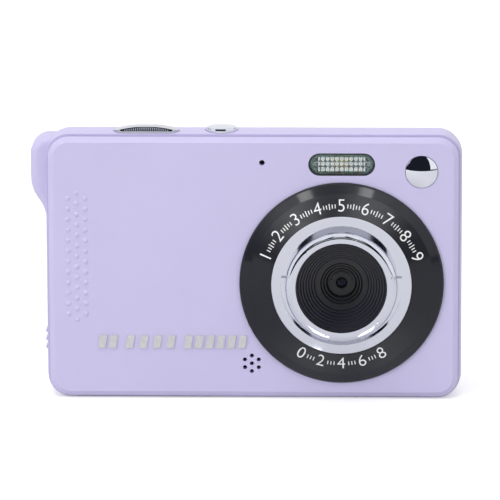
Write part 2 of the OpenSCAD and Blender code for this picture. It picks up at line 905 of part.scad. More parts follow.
// Brass insert with the tripod thread
module tripod_nut() {
    color([0.78, 0.62, 0.3])
    difference() {
        z_bar(0, 0, tripod_nut_r, 0, tripod_depth);
        z_bar(0, 0, tripod_bore_r, -1, tripod_depth + 1);
    }
}

// ---------------------------------------------------------------- top buttons

// Shutter button: an oval bar with leaning sides under a long arched top, and a rim at its foot
module shutter_button() {
    long_r = 27.5;
    cross_r = 16;
    foot_w = 0.15;
    foot_h = 0.3;
    half_d = shutter_d / 2 - foot_w;
    lean = 0.35;
    color(c_chrome) {
        intersection() {
            level(shutter_x, shutter_y, crown_z - foot_h, shutter_top_z + 1)
                pill(shutter_w - 2 * foot_w, 2 * half_d);
            translate([shutter_x, shutter_y, 0])
                rotate([90, 0, 90])
                    linear_extrude(shutter_w, center = true)
                        polygon([[-half_d, crown_z - foot_h], [half_d, crown_z - foot_h],
                                 [half_d - lean, shutter_top_z + 0.1], [lean - half_d, shutter_top_z + 0.1]]);
            translate([shutter_x, 0, shutter_top_z - long_r])
                rotate([90, 0, 0])
                    cylinder(r = long_r, h = 40, center = true, $fn = 240);
            translate([shutter_x, shutter_y, shutter_top_z - cross_r])
                rotate([0, 90, 0])
                    cylinder(r = cross_r, h = 40, center = true, $fn = 120);
        }
        level(shutter_x, shutter_y, button_flange_z + button_flange_t, crown_z + 0.1)
            pill(shutter_w, shutter_d);
        level(shutter_x, shutter_y, button_flange_z, button_flange_z + button_flange_t)
            pill(shutter_w + 1, shutter_d + 1);
        z_bar(shutter_x, shutter_y, 1.5, button_flange_z - 0.35, button_flange_z);
    }
}

// Round power button: a flared skirt, an upright waist and a shallow dome
module power_button() {
    dome_r = 30;
    top_z = crown_z + 0.9;
    color(c_chrome)
    translate([power_x, button_y, 0])
        rotate_extrude()
            intersection() {
                polygon([[0, button_flange_z - 0.35], [1.2, button_flange_z - 0.35], [1.2, button_flange_z],
                         [power_r + 0.3, button_flange_z], [power_r + 0.3, button_flange_z + button_flange_t],
                         [power_r, button_flange_z + button_flange_t], [power_r, crown_z + 0.08],
                         [power_r - 0.22, crown_z + 0.18], [power_r - 0.28, crown_z + 0.58],
                         [power_r - 0.6, crown_z + 0.76], [power_r - 0.6, top_z + 1], [0, top_z + 1]]);
                translate([0, top_z - dome_r])
                    circle(dome_r, $fn = 240);
            }
}

module tact_switch(body, plunger_r) {
    translate([-body / 2, -body / 2, 0])
        cube([body, body, 0.7]);
    translate([0, 0, 0.7])
        cylinder(r = plunger_r, h = 0.3);
}

module shutter_switch() {
    color(c_black)
    translate([shutter_x, shutter_y, top_board_z + board_t - 0.2])
        tact_switch(4.5, 1.1);
}

module power_switch() {
    color(c_black)
    translate([power_x, button_y, top_board_z + board_t - 0.2])
        tact_switch(4.5, 1.1);
}

module top_switch_board() {
    color(c_board)
    block([-36, -3.6, top_board_z], [-2, 4.4, top_board_z + board_t - 0.2]);
}

// ---------------------------------------------------------------- boards and power

module main_board() {
    color(c_board)
    difference() {
        block([main_x0, main_board_y, main_z0], [main_x1, main_board_y + board_t, main_z1]);
        for (p = frame_posts)
            y_bar(p[0], p[1], 0.9, main_board_y - 1, main_board_y + board_t + 1);
    }
}

// Packages soldered on the main board, and the header that joins the port and key boards
module board_chips() {
    y = main_board_y + board_t;
    color([0.13, 0.13, 0.15]) {
        block([14, y, 20], [26, y + 1.2, 32]);
        block([2, y, 36], [11, y + 1, 44]);
        block([28, y, 40], [36, y + 1.4, 46]);
        for (k = [0 : 3])
            block([4 + 5 * k, y, 13], [6.5 + 5 * k, y + 0.8, 14.4]);
        block([-37.5, port_board_y + 1, 12], [-31.5, key_board_y, 15]);
    }
}

module board_screws() {
    color(c_steel) {
        for (p = frame_posts)
            translate([p[0], main_board_y - 0.7, p[1]])
                rotate([90, 0, 0])
                    screw(1.4, 0.7, 0.79, 4.5);
        for (p = key_boss)
            translate([p[0], key_board_y - 0.7, p[1]])
                rotate([90, 0, 0])
                    screw(1.4, 0.7, 0.79, 4.2);
    }
}

module key_board() {
    color(c_board)
    difference() {
        block([-44.4, key_board_y, 10.4], [-18.2, key_board_y + board_t, 58]);
        for (p = key_boss)
            y_bar(p[0], p[1], 0.9, key_board_y - 1, key_board_y + board_t + 1);
    }
}

// A dome switch under every key on the back
module key_switches() {
    y = key_board_y + board_t;
    color(c_steel) {
        for (p = round_keys)
            y_bar(p[0], p[1], 1.6, y, y + 0.95);
        for (a = [0 : 90 : 270])
            y_bar(pad_x + pad_mid_r * cos(a), pad_z + pad_mid_r * sin(a), 1.5, y, y + 0.95);
        y_bar(pad_x, pad_z, 1.6, y, y + 0.55);
        for (s = [-1, 1])
            y_bar(rocker_x + s * rocker_press_x, rocker_z, 1.4, y, y + 0.9);
    }
}

module port_board() {
    color(c_board)
    block([-45.2, port_board_y, 8.4], [-30, port_board_y + 1, 33]);
}

// USB socket: a steel shell round a flat tongue
module usb_socket() {
    color(c_steel)
    translate([usb_x0, usb_y, usb_z])
        rotate([0, 90, 0]) {
            difference() {
                linear_extrude(usb_size[0])
                    pill(usb_size[2], usb_size[1]);
                translate([0, 0, -1])
                    linear_extrude(usb_size[0])
                        pill(usb_size[2] - 0.7, usb_size[1] - 0.7);
            }
            translate([-3.2, -0.35, 0.6])
                cube([6.4, 0.7, usb_size[0] - 1.2]);
        }
}

// Memory card socket with its slot
module card_socket() {
    color(c_steel)
    difference() {
        block([card_x0, card_y0, card_z - card_size[2] / 2],
              [card_x0 + card_size[0], card_y0 + card_size[1], card_z + card_size[2] / 2]);
        block([card_x0 - 1, card_y0 + 0.3, card_z - card_size[2] / 2 + 0.4],
              [card_x0 + card_size[0] - 1, card_y0 + card_size[1] - 0.2, card_z + card_size[2] / 2 - 0.4]);
    }
}

module battery() {
    color([0.2, 0.22, 0.26])
    translate([battery_x0 + battery_size[0] / 2, battery_y0 + battery_size[1] / 2, battery_z0])
        linear_extrude(battery_size[2])
            round_rect(battery_size[0], battery_size[1], 1.2);
}

// Contact block above the battery, with three spring blades
module battery_contacts() {
    z = battery_z0 + battery_size[2];
    color(c_black)
    block([battery_x0 + 3, inner_y, z + 0.5], [battery_x0 + 26, battery_y0 + battery_size[1], z + 3.2]);
    color(c_steel)
    for (k = [0 : 2])
        block([battery_x0 + 8 + 5 * k, battery_y0 + 2, z],
              [battery_x0 + 10 + 5 * k, battery_y0 + 4, z + 0.5]);
}

// ---------------------------------------------------------------- screen

// Open frame that holds the screen; its posts carry the main board
module lcd_frame() {
    color([0.3, 0.3, 0.32])
    difference() {
        union() {
            block([frame_x0, frame_y0, frame_z0], [frame_x1, back_in_y, frame_z1]);
            for (p = frame_posts)
                y_bar(p[0], p[1], 1.9, main_board_y + board_t, frame_y0 + 0.5);
        }
        block([frame_x0 + 1.2, frame_y0 + 0.9, frame_z0 + 1.2],
              [frame_x1 - 1.2, back_in_y + 1, frame_z1 - 1.2]);
        block([frame_x0 + 9, frame_y0 - 1, frame_z0 + 9], [frame_x1 - 9, frame_y0 + 2, frame_z1 - 9]);
        for (p = frame_posts)
            y_bar(p[0], p[1], 0.8, main_board_y, main_board_y + board_t + 4);
    }
}

module lcd_panel() {
    color([0.1, 0.11, 0.14])
    block([frame_x0 + 1.3, frame_y0 + 0.9, frame_z0 + 1.3],
          [frame_x1 - 1.3, back_in_y - 0.15, frame_z1 - 1.3]);
}

module lcd_window() {
    color([0.1, 0.1, 0.12, 0.7])
    y_slab(screen_x, screen_z, screen_w, screen_h, 2, back_y - window_sink, back_y - 0.12);
}

module status_led() {
    color([0.4, 0.9, 0.5])
    y_bar(pad_x, led_z, 0.9, key_board_y + board_t, back_y - 0.05);
}

// ---------------------------------------------------------------- back keys

// Round key with a retaining flange and a stem over its switch
module round_key(p) {
    color(c_shell) {
        y_bar(p[0], p[1], round_key_r, key_flange_y + 0.75, key_top_y);
        y_bar(p[0], p[1], round_key_r + 0.7, key_flange_y, key_flange_y + 0.75);
        y_bar(p[0], p[1], 1, key_flange_y - 0.15, key_flange_y);
    }
}

// A quarter of a ring round the pad's centre, above the centre
module pad_sector(inner_r, outer_r, y0, y1) {
    gap = 0.22;
    stand(pad_x, pad_z, y0, y1)
        intersection() {
            difference() {
                circle(outer_r);
                circle(inner_r);
            }
            rotate(45)
                translate([gap / 2, gap / 2])
                    square(outer_r);
        }
}

// One key of the four-way ring, turned by a: a dished cap, a retaining flange and a stem
module pad_key(a) {
    color(c_shell)
    translate([pad_x, 0, pad_z])
        rotate([0, a, 0])
            translate([-pad_x, 0, -pad_z]) {
                intersection() {
                    pad_sector(ok_r + 0.2, pad_r, key_flange_y + 0.5, key_top_y);
                    translate([pad_x, 0, pad_z])
                        rotate([-90, 0, 0])
                            rotate_extrude()
                                polygon([[0, 0], [pad_r + 1, 0], [pad_r + 1, key_top_y - 0.55],
                                         [pad_r, key_top_y - 0.55], [pad_r - 0.45, key_top_y - 0.1],
                                         [pad_r - 1.3, key_top_y - 0.1], [ok_r + 0.5, key_top_y - 0.5],
                                         [0, key_top_y - 0.5]]);
                }
                pad_sector(pad_r - 1.5, pad_r + 0.7, key_flange_y + 0.1, key_flange_y + 0.8);
                y_bar(pad_x, pad_z + pad_mid_r, 1.2, key_flange_y - 0.15, key_flange_y + 0.6);
            }
}

module mode_key() {
    round_key(round_keys[0]);
}

module play_key() {
    round_key(round_keys[1]);
}

module menu_key() {
    round_key(round_keys[2]);
}

module delete_key() {
    round_key(round_keys[3]);
}

module up_key() {
    pad_key(0);
}

module right_key() {
    pad_key(90);
}

module down_key() {
    pad_key(180);
}

module left_key() {
    pad_key(270);
}

// Centre key of the pad, with a slightly hollow top
module ok_key() {
    dish_r = 14;
    color(c_chrome)
    difference() {
        union() {
            y_bar(pad_x, pad_z, ok_r, key_flange_y - 0.1, key_top_y);
            y_bar(pad_x, pad_z, ok_r + 0.7, key_flange_y - 0.45, key_flange_y);
            y_bar(pad_x, pad_z, 1.2, key_flange_y - 0.6, key_flange_y);
        }
        translate([pad_x, key_top_y + dish_r - 0.3, pad_z])
            sphere(dish_r);
    }
}

// Zoom rocker: tips 3 degrees either way on a pin
module zoom_rocker() {
    flange_y = key_flange_y - 0.2;
    color(c_shell)
    difference() {
        union() {
            y_pill(rocker_x, rocker_z, rocker_w, rocker_h, flange_y + 0.6, key_top_y + 0.15);
            y_pill(rocker_x, rocker_z, rocker_w + 1.6, rocker_h + 1.6, flange_y, flange_y + 0.7);
            z_bar(rocker_x, rocker_axis_y, 1.3, rocker_z - rocker_h / 2 + 0.1, rocker_z + rocker_h / 2 - 0.1);
            for (s = [-1, 1])
                y_bar(rocker_x + s * rocker_press_x, rocker_z, 0.8, flange_y - 0.15, flange_y + 0.1);
        }
        z_bar(rocker_x, rocker_axis_y, rocker_pin_r + 0.05, rocker_z - 6, rocker_z + 6);
        // Finger groove across the middle
        z_bar(rocker_x, key_top_y + 6.6, 6.8, rocker_z - 6, rocker_z + 6);
    }
}

module rocker_pin() {
    color(c_steel)
    z_bar(rocker_x, rocker_axis_y, rocker_pin_r, rocker_z - 5.25, rocker_z + 5.25);
}

// ---------------------------------------------------------------- doors

// Battery door in the base, hinged along its back edge
module battery_door() {
    x1 = door_x0 + door_len;
    color(c_shell)
    difference() {
        union() {
            block([door_x0, door_y0, 0], [x1, door_hinge_y, door_t]);
            x_bar(door_hinge_y, door_hinge_z, hinge_barrel_r, door_x0, x1);
            // Catch tongue beside the battery
            block([door_x0 + 0.3, battery_y0, door_t - 0.1], [door_x0 + 2.3, battery_y0 + 1.4, door_t + 2]);
        }
        x_bar(door_hinge_y, door_hinge_z, pin_r + 0.04, door_x0 - 1, x1 + 1);
        // Groove for a fingernail
        x_bar(door_y0 + 1.6, -0.35, 0.8, door_x0 + door_len / 2 - 5, door_x0 + door_len / 2 + 5);
    }
}

module battery_door_pin() {
    color(c_steel)
    x_bar(door_hinge_y, door_hinge_z, pin_r, door_x0 - 1.3, door_x0 + door_len + 1.3);
}

// Soft cover over the ports: follows the curved side, hinged at its top, ribbed below
module port_cover() {
    color(c_shell)
    difference() {
        union() {
            mirror([1, 0, 0])
                translate([corner_x, 0, port_z0])
                    linear_extrude(port_hinge_z - port_z0)
                        intersection() {
                            shell_profile(0, shell_y);
                            translate([-port_back_x - corner_x + 0.1, port_y - port_w / 2])
                                square([corner_r, port_w]);
                        }
            y_bar(port_hinge_x, port_hinge_z, hinge_barrel_r, port_y - port_w / 2, port_y + port_w / 2);
            for (k = [-1 : 1])
                y_bar(rib_r - rib_rise - side_x, rib_z + k * rib_pitch, rib_r,
                      port_y - port_w / 2 + 0.7, port_y + port_w / 2 - 0.7);
        }
        y_bar(port_hinge_x, port_hinge_z, pin_r + 0.04, port_y - port_w, port_y + port_w);
    }
}

module port_cover_pin() {
    color(c_steel)
    y_bar(port_hinge_x, port_hinge_z, pin_r, port_y - port_w / 2 - 1, port_y + port_w / 2 + 1);
}

// ---------------------------------------------------------------- assembly

front_cover();
rear_cover();
case_screws();
trim_bars();
lens_bezel();
chrome_barrel();
lens_hood();
lens_holder();
lens_barrel();
lens_element();
ir_filter();
image_sensor();
sensor_board();
flash_window();
flash_board();
flash_led();
flash_components();
selfie_mirror();
microphone();
speaker();
tripod_nut();
shutter_button();
power_button();
shutter_switch();
power_switch();
top_switch_board();
main_board();
board_chips();
board_screws();
key_board();
key_switches();
port_board();
usb_socket();
card_socket();
battery();
battery_contacts();
lcd_frame();
lcd_panel();
lcd_window();
status_led();
zoom_rocker();
rocker_pin();
mode_key();
menu_key();
play_key();
delete_key();
up_key();
right_key();
down_key();
left_key();
ok_key();
battery_door();
battery_door_pin();
port_cover();
port_cover_pin();
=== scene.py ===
"""Dresses the kids digital camera: finishes, printed marks, studio and camera.

Every size is in millimetres unless a name says otherwise, and mm() turns it to metres.
The frame is the CAD model's: +Z up, the lens looks along -Y.
"""

import logging
import math
from dataclasses import dataclass, field
from enum import Enum
from typing import Any, Callable

import bmesh
import bpy
from mathutils import Matrix, Vector


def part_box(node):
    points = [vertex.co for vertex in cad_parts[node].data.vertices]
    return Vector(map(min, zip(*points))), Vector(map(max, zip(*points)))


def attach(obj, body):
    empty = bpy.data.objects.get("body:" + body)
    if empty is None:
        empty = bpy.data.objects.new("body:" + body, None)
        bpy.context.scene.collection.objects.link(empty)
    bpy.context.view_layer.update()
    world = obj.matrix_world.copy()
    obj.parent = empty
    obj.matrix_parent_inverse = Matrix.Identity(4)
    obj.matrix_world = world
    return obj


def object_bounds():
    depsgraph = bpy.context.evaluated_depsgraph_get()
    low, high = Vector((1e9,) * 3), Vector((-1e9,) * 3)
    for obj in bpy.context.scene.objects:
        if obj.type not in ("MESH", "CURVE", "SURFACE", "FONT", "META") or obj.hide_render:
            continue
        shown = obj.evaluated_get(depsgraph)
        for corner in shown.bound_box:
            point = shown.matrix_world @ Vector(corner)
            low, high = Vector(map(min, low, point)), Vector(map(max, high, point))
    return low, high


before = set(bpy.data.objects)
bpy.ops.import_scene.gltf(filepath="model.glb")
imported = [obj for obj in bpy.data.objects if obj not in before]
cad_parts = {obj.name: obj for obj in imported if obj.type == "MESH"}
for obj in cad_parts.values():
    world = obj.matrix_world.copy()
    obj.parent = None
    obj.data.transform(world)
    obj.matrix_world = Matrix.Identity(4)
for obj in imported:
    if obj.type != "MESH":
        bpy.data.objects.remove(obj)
CAD_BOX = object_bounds()

log = logging.getLogger("kids_camera")

Socket = bpy.types.NodeSocket
Node = bpy.types.Node
Tree = bpy.types.NodeTree
Rgba = tuple[float, float, float, float]
Place = tuple[float, float, float]
Flat = tuple[float, float]
Lay = Callable[[float, float, float], Vector]

MM = 0.001
WHITE: Rgba = (1.0, 1.0, 1.0, 1.0)


# ---------------------------------------------------------------- units and nodes


def mm(value: float) -> float:
    """Millimetres to metres."""
    return value * MM


def in_mm(value: float) -> float:
    """Metres to millimetres."""
    return value * 1000.0


def middle_mm(node: str) -> tuple[float, ...]:
    """The middle of a CAD node's box, in millimetres."""
    low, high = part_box(node)
    return tuple(in_mm(a + b) / 2 for a, b in zip(low, high))


def per_metre(size_mm: float) -> float:
    """The texture scale whose feature is size_mm across in object coordinates."""
    return 1000.0 / size_mm


def band_scale(period_mm: float) -> float:
    """The wave texture's scale whose bands repeat every period_mm."""
    return 100.0 * math.pi / period_mm


def linear(hex_colour: str) -> Rgba:
    """Turns an sRGB hex colour to linear light.

    Args:
        hex_colour: Six hex digits, with or without a leading #.

    Returns:
        Linear red, green, blue and an alpha of 1.
    """
    digits = hex_colour.lstrip("#")
    out = []
    for i in (0, 2, 4):
        c = int(digits[i : i + 2], 16) / 255.0
        out.append(c / 12.92 if c <= 0.04045 else ((c + 0.055) / 1.055) ** 2.4)
    return (out[0], out[1], out[2], 1.0)


def add_node(
    tree: Tree,
    kind: str,
    settings: dict[Any, Any] | None = None,
    links: dict[Any, Socket] | None = None,
) -> Node:
    """Adds a node with its settings and links.

    Args:
        tree: The node tree to add to.
        kind: The node's type name.
        settings: Socket names or numbers, or node attributes, with their values.
        links: Socket names or numbers with the output that feeds each.

    Returns:
        The new node.
    """
    node = tree.nodes.new(kind)
    for key, value in (settings or {}).items():
        if isinstance(key, int) or key in node.inputs:
            node.inputs[key].default_value = value
        else:
            setattr(node, key, value)
    for key, source in (links or {}).items():
        tree.links.new(source, node.inputs[key])
    return node


def set_ramp(ramp: Node, stops: list[tuple[float, Rgba]]) -> None:
    """Gives a colour ramp its stops.

    Args:
        ramp: A colour ramp node.
        stops: Position and linear colour of each stop, in order.
    """
    elements = ramp.color_ramp.elements
    while len(elements) < len(stops):
        elements.new(1.0)
    for element, (position, colour) in zip(elements, stops):
        element.position = position
        element.color = colour


def blank_material(name: str) -> bpy.types.Material:
    """A new material whose node tree is empty.

    Args:
        name: The material's name.

    Returns:
        The material.
    """
    material = bpy.data.materials.new(name)
    material.use_nodes = True
    material.node_tree.nodes.clear()
    return material


# ---------------------------------------------------------------- finishes


@dataclass(frozen=True)
class Finish:
    """A finish: what the piece is made of and how its surface was made."""

    name: str

    def make(self) -> bpy.types.Material:
        """Builds the material once, and gives the same one afterwards.

        Returns:
            The material.
        """
        found = bpy.data.materials.get(self.name)
        if found:
            return found
        material = blank_material(self.name)
        tree = material.node_tree
        where = add_node(tree, "ShaderNodeTexCoord").outputs["Object"]
        shader = self.surface(tree, where)
        add_node(tree, "ShaderNodeOutputMaterial", links={"Surface": shader.outputs[0]})
        return material

    def surface(self, tree: Tree, where: Socket) -> Node:
        """Builds the shader; each finish has its own."""
        raise NotImplementedError

    @staticmethod
    def mottle(
        tree: Tree, where: Socket, size_mm: float, colours: tuple[str, str], detail: float = 3.0
    ) -> Socket:
        """A slow drift between two near colours.

        Args:
            tree: The material's node tree.
            where: Object coordinates.
            size_mm: Size of the patches.
            colours: The two colours, as hex.
            detail: Octaves of the noise.

        Returns:
            The colour.
        """
        noise = add_node(
            tree,
            "ShaderNodeTexNoise",
            {"Scale": per_metre(size_mm), "Detail": detail, "Roughness": 0.55},
            {"Vector": where},
        )
        ramp = add_node(tree, "ShaderNodeValToRGB", links={"Fac": noise.outputs["Fac"]})
        set_ramp(ramp, [(0.32, linear(colours[0])), (0.68, linear(colours[1]))])
        return ramp.outputs["Color"]

    @staticmethod
    def vary(
        tree: Tree, where: Socket, size_mm: float, ends: tuple[float, float], detail: float = 2.0
    ) -> Socket:
        """A value that drifts between two ends.

        Args:
            tree: The material's node tree.
            where: Object coordinates.
            size_mm: Size of the patches.
            ends: The lowest and the highest value.
            detail: Octaves of the noise.

        Returns:
            The value.
        """
        noise = add_node(
            tree,
            "ShaderNodeTexNoise",
            {"Scale": per_metre(size_mm), "Detail": detail},
            {"Vector": where},
        )
        span = add_node(
            tree,
            "ShaderNodeMapRange",
            {"From Min": 0.3, "From Max": 0.7, "To Min": ends[0], "To Max": ends[1]},
            {"Value": noise.outputs["Fac"]},
        )
        return span.outputs["Result"]

    @staticmethod
    def grain(tree: Tree, where: Socket, size_mm: float, depth_mm: float, detail: float = 2.0) -> Socket:
        """A fine bump.

        Args:
            tree: The material's node tree.
            where: Object coordinates.
            size_mm: Size of the grain.
            depth_mm: Depth of the grain.
            detail: Octaves of the noise.

        Returns:
            The bent normal.
        """
        noise = add_node(
            tree,
            "ShaderNodeTexNoise",
            {"Scale": per_metre(size_mm), "Detail": detail, "Roughness": 0.6},
            {"Vector": where},
        )
        bump = add_node(
            tree,
            "ShaderNodeBump",
            {"Strength": 1.0, "Distance": mm(depth_mm)},
            {"Height": noise.outputs["Fac"]},
        )
        return bump.outputs["Normal"]


@dataclass(frozen=True)
class MouldedPlastic(Finish):
    """Injection-moulded plastic: even colour, slight flow marks, a fine spark-eroded grain."""

    colours: tuple[str, str] = ("C9C3E7", "CBC5E9")
    roughness: tuple[float, float] = (0.4, 0.46)
    grain_mm: float = 0.35
    depth_mm: float = 0.004
    ior: float = 1.54
    specular: float = 0.5
    glow: float = 0.0
    glow_reach: Place = (1.0, 0.9, 1.0)
    glow_mm: float = 0.6

    def surface(self, tree: Tree, where: Socket) -> Node:
        """Builds the moulded plastic; glow is how much light wanders under its skin and glow_mm how far.

        Args:
            tree: The material's node tree.
            where: Object coordinates.

        Returns:
            The shader.
        """
        shader = add_node(
            tree,
            "ShaderNodeBsdfPrincipled",
            {"IOR": self.ior, "Specular IOR Level": self.specular},
            {
                "Base Color": self.mottle(tree, where, size_mm=14.0, colours=self.colours),
                "Roughness": self.vary(tree, where, size_mm=4.0, ends=self.roughness),
                "Normal": self.grain(tree, where, self.grain_mm, self.depth_mm),
            },
        )
        if self.glow > 0:
            shader.inputs["Subsurface Weight"].default_value = self.glow
            shader.inputs["Subsurface Radius"].default_value = self.glow_reach
            shader.inputs["Subsurface Scale"].default_value = mm(self.glow_mm)
        return shader


@dataclass(frozen=True)
class DeepShadedPlastic(MouldedPlastic):
    """Moulded plastic darkened to near black from a given depth inwards: painted shade, as deep inside a lens
    hood.
    """

    deep_shade: str = "05070D"
    from_y: float = -8.3
    to_y: float = -7.7

    def surface(self, tree: Tree, where: Socket) -> Node:
        """Builds the plastic, then the painted shade on its inner part.

        Args:
            tree: The material's node tree.
            where: Object coordinates.

        Returns:
            The shader.
        """
        shader = super().surface(tree, where)
        bare = shader.inputs["Base Color"].links[0].from_socket
        # Painted shade: near black from to_y inwards, blending from the bare colour at from_y.
        place = add_node(tree, "ShaderNodeSeparateXYZ", links={0: where})
        depth = add_node(
            tree,
            "ShaderNodeMapRange",
            {"From Min": mm(self.from_y), "From Max": mm(self.to_y), "To Min": 0.0, "To Max": 1.0},
            {"Value": place.outputs["Y"]},
        )
        painted = add_node(
            tree,
            "ShaderNodeMix",
            {"data_type": "RGBA", 7: linear(self.deep_shade)},
            {0: depth.outputs["Result"], 6: bare},
        )
        tree.links.new(painted.outputs[2], shader.inputs["Base Color"])
        return shader


@dataclass(frozen=True)
class TurnedPlastic(MouldedPlastic):
    """Lacquered plastic from a turned mould: rings too fine to draw spread its sheen in rays."""

    centre_mm: Place = (20.7, 0.0, 28.1)
    spread: float = 1.0
    lacquer: float = 0.5
    lacquer_roughness: float = 0.075

    def surface(self, tree: Tree, where: Socket) -> Node:
        """Builds the plastic, turns its sheen round the centre and lacquers it.

        Args:
            tree: The material's node tree.
            where: Object coordinates.

        Returns:
            The shader.
        """
        shader = super().surface(tree, where)
        centre = tuple(mm(v) for v in self.centre_mm)
        ray = add_node(tree, "ShaderNodeVectorMath", {"operation": "SUBTRACT", 1: centre}, {0: where})
        tree.links.new(ray.outputs[0], shader.inputs["Tangent"])
        shader.inputs["Anisotropic"].default_value = self.spread
        shader.inputs["Coat Weight"].default_value = self.lacquer
        shader.inputs["Coat Roughness"].default_value = self.lacquer_roughness
        return shader


@dataclass(frozen=True)
class SoftRubber(Finish):
    """Soft TPE: the shell's colour with a dusty, felted grain and no clear highlight."""

    colours: tuple[str, str] = ("C2BBE0", "C6BFE4")

    def surface(self, tree: Tree, where: Socket) -> Node:
        """Builds the soft rubber.

        Args:
            tree: The material's node tree.
            where: Object coordinates.

        Returns:
            The shader.
        """
        return add_node(
            tree,
            "ShaderNodeBsdfPrincipled",
            {"IOR": 1.5, "Sheen Weight": 0.15, "Sheen Roughness": 0.5},
            {
                "Base Color": self.mottle(tree, where, size_mm=3.0, colours=self.colours),
                "Roughness": self.vary(tree, where, size_mm=0.8, ends=(0.62, 0.74)),
                "Normal": self.grain(tree, where, size_mm=0.3, depth_mm=0.012, detail=4.0),
            },
        )


@dataclass(frozen=True)
class PlatedMetal(Finish):
    """Bright plating over moulded plastic: mirror gloss with the faint waves of the plastic under it."""

    colour: str = "DADDE9"
    roughness: tuple[float, float] = (0.05, 0.09)
    wave_mm: float = 6.0
    wave_depth_mm: float = 0.003

    def surface(self, tree: Tree, where: Socket) -> Node:
        """Builds the plating.

        Args:
            tree: The material's node tree.
            where: Object coordinates.

        Returns:
            The shader.
        """
        return add_node(
            tree,
            "ShaderNodeBsdfPrincipled",
            {"Base Color": linear(self.colour), "Metallic": 1.0},
            {
                "Roughness": self.vary(tree, where, size_mm=2.5, ends=self.roughness, detail=5.0),
                "Normal": self.grain(tree, where, self.wave_mm, self.wave_depth_mm, detail=1.0),
            },
        )


@dataclass(frozen=True)
class BrushedMetal(Finish):
    """Rolled or turned metal: fine lines along one direction that stretch the highlight."""

    colours: tuple[str, str] = ("A8A9AC", "B6B7BA")
    roughness: tuple[float, float] = (0.28, 0.4)
    line_mm: float = 0.15
    stretch: Place = (1.0, 1.0, 0.06)

    def surface(self, tree: Tree, where: Socket) -> Node:
        """Builds the brushed metal.

        Args:
            tree: The material's node tree.
            where: Object coordinates.

        Returns:
            The shader.
        """
        mapping = add_node(tree, "ShaderNodeMapping", {"Scale": self.stretch}, {"Vector": where})
        lines = mapping.outputs["Vector"]
        return add_node(
            tree,
            "ShaderNodeBsdfPrincipled",
            {"Metallic": 1.0},
            {
                "Base Color": self.mottle(tree, lines, size_mm=1.2, colours=self.colours),
                "Roughness": self.vary(tree, lines, size_mm=self.line_mm * 3, ends=self.roughness),
                "Normal": self.grain(tree, lines, size_mm=self.line_mm, depth_mm=0.002),
            },
        )


@dataclass(frozen=True)
class HotFoil(Finish):
    """Silver foil pressed on raised plastic: bright, a little rough, with pinholes and dull spots."""

    colours: tuple[str, str] = ("D6D6D8", "E4E4E6")

    def surface(self, tree: Tree, where: Socket) -> Node:
        """Builds the foil.

        Args:
            tree: The material's node tree.
            where: Object coordinates.

        Returns:
            The shader.
        """
        return add_node(
            tree,
            "ShaderNodeBsdfPrincipled",
            {"Metallic": 0.55, "IOR": 1.5},
            {
                "Base Color": self.mottle(tree, where, size_mm=0.8, colours=self.colours, detail=5.0),
                "Roughness": self.vary(tree, where, size_mm=0.5, ends=(0.3, 0.5), detail=4.0),
                "Normal": self.grain(tree, where, size_mm=0.25, depth_mm=0.01, detail=3.0),
            },
        )


@dataclass(frozen=True)
class ClearPlastic(Finish):
    """Clear moulded acrylic: see-through, sharp at its faces, with a trace of flow lines."""

    tint: str = "F4F7F6"
    roughness: float = 0.04
    ior: float = 1.49

    def surface(self, tree: Tree, where: Socket) -> Node:
        """Builds the clear plastic.

        Args:
            tree: The material's node tree.
            where: Object coordinates.

        Returns:
            The shader.
        """
        return add_node(
            tree,
            "ShaderNodeBsdfPrincipled",
            {
                "Base Color": linear(self.tint),
                "Roughness": self.roughness,
                "IOR": self.ior,
                "Transmission Weight": 1.0,
            },
            {"Normal": self.grain(tree, where, size_mm=3.0, depth_mm=0.002)},
        )


@dataclass(frozen=True)
class CoatedGlass(Finish):
    """Ground optical glass with an anti-reflection coat and a violet-green gleam; a dark tint gives painted
    shade.
    """

    tint: str = "B9C0D8"
    ior: float = 1.62

    def surface(self, tree: Tree, where: Socket) -> Node:
        """Builds the coated glass.

        Args:
            tree: The material's node tree.
            where: Object coordinates.

        Returns:
            The shader.
        """
        return add_node(
            tree,
            "ShaderNodeBsdfPrincipled",
            {
                "Base Color": linear(self.tint),
                "Roughness": 0.02,
                "IOR": self.ior,
                "Transmission Weight": 0.9,
                "Thin Film Thickness": 110.0,
                "Thin Film IOR": 1.38,
            },
            {"Normal": self.grain(tree, where, size_mm=0.8, depth_mm=0.0003)},
        )


@dataclass(frozen=True)
class SolderMask(Finish):
    """Glass-epoxy board under green solder mask: copper traces show as lighter lines."""

    mask: tuple[str, str] = ("1F5A48", "2F7A62")
    trace: str = "4E9C84"
    trace_pitch_mm: float = 1.6

    def surface(self, tree: Tree, where: Socket) -> Node:
        """Builds the board.

        Args:
            tree: The material's node tree.
            where: Object coordinates.

        Returns:
            The shader.
        """
        mask = self.mottle(tree, where, size_mm=2.5, colours=self.mask, detail=4.0)
        mapping = add_node(tree, "ShaderNodeMapping", {"Rotation": (0.0, 0.6, 0.0)}, {"Vector": where})
        cells = add_node(
            tree,
            "ShaderNodeTexVoronoi",
            {"feature": "DISTANCE_TO_EDGE", "Scale": per_metre(self.trace_pitch_mm), "Randomness": 0.8},
            {"Vector": mapping.outputs["Vector"]},
        )
        line = add_node(
            tree,
            "ShaderNodeMapRange",
            {"From Min": 0.05, "From Max": 0.09, "To Min": 1.0, "To Max": 0.0},
            {"Value": cells.outputs["Distance"]},
        )
        colour = add_node(
            tree,
            "ShaderNodeMix",
            {"data_type": "RGBA", 7: linear(self.trace)},
            {0: line.outputs["Result"], 6: mask},
        )
        return add_node(
            tree,
            "ShaderNodeBsdfPrincipled",
            {"IOR": 1.55, "Coat Weight": 0.4, "Coat Roughness": 0.12},
            {
                "Base Color": colour.outputs[2],
                "Roughness": self.vary(tree, where, size_mm=1.0, ends=(0.3, 0.42)),
                "Normal": self.grain(tree, where, size_mm=0.5, depth_mm=0.01),
            },
        )


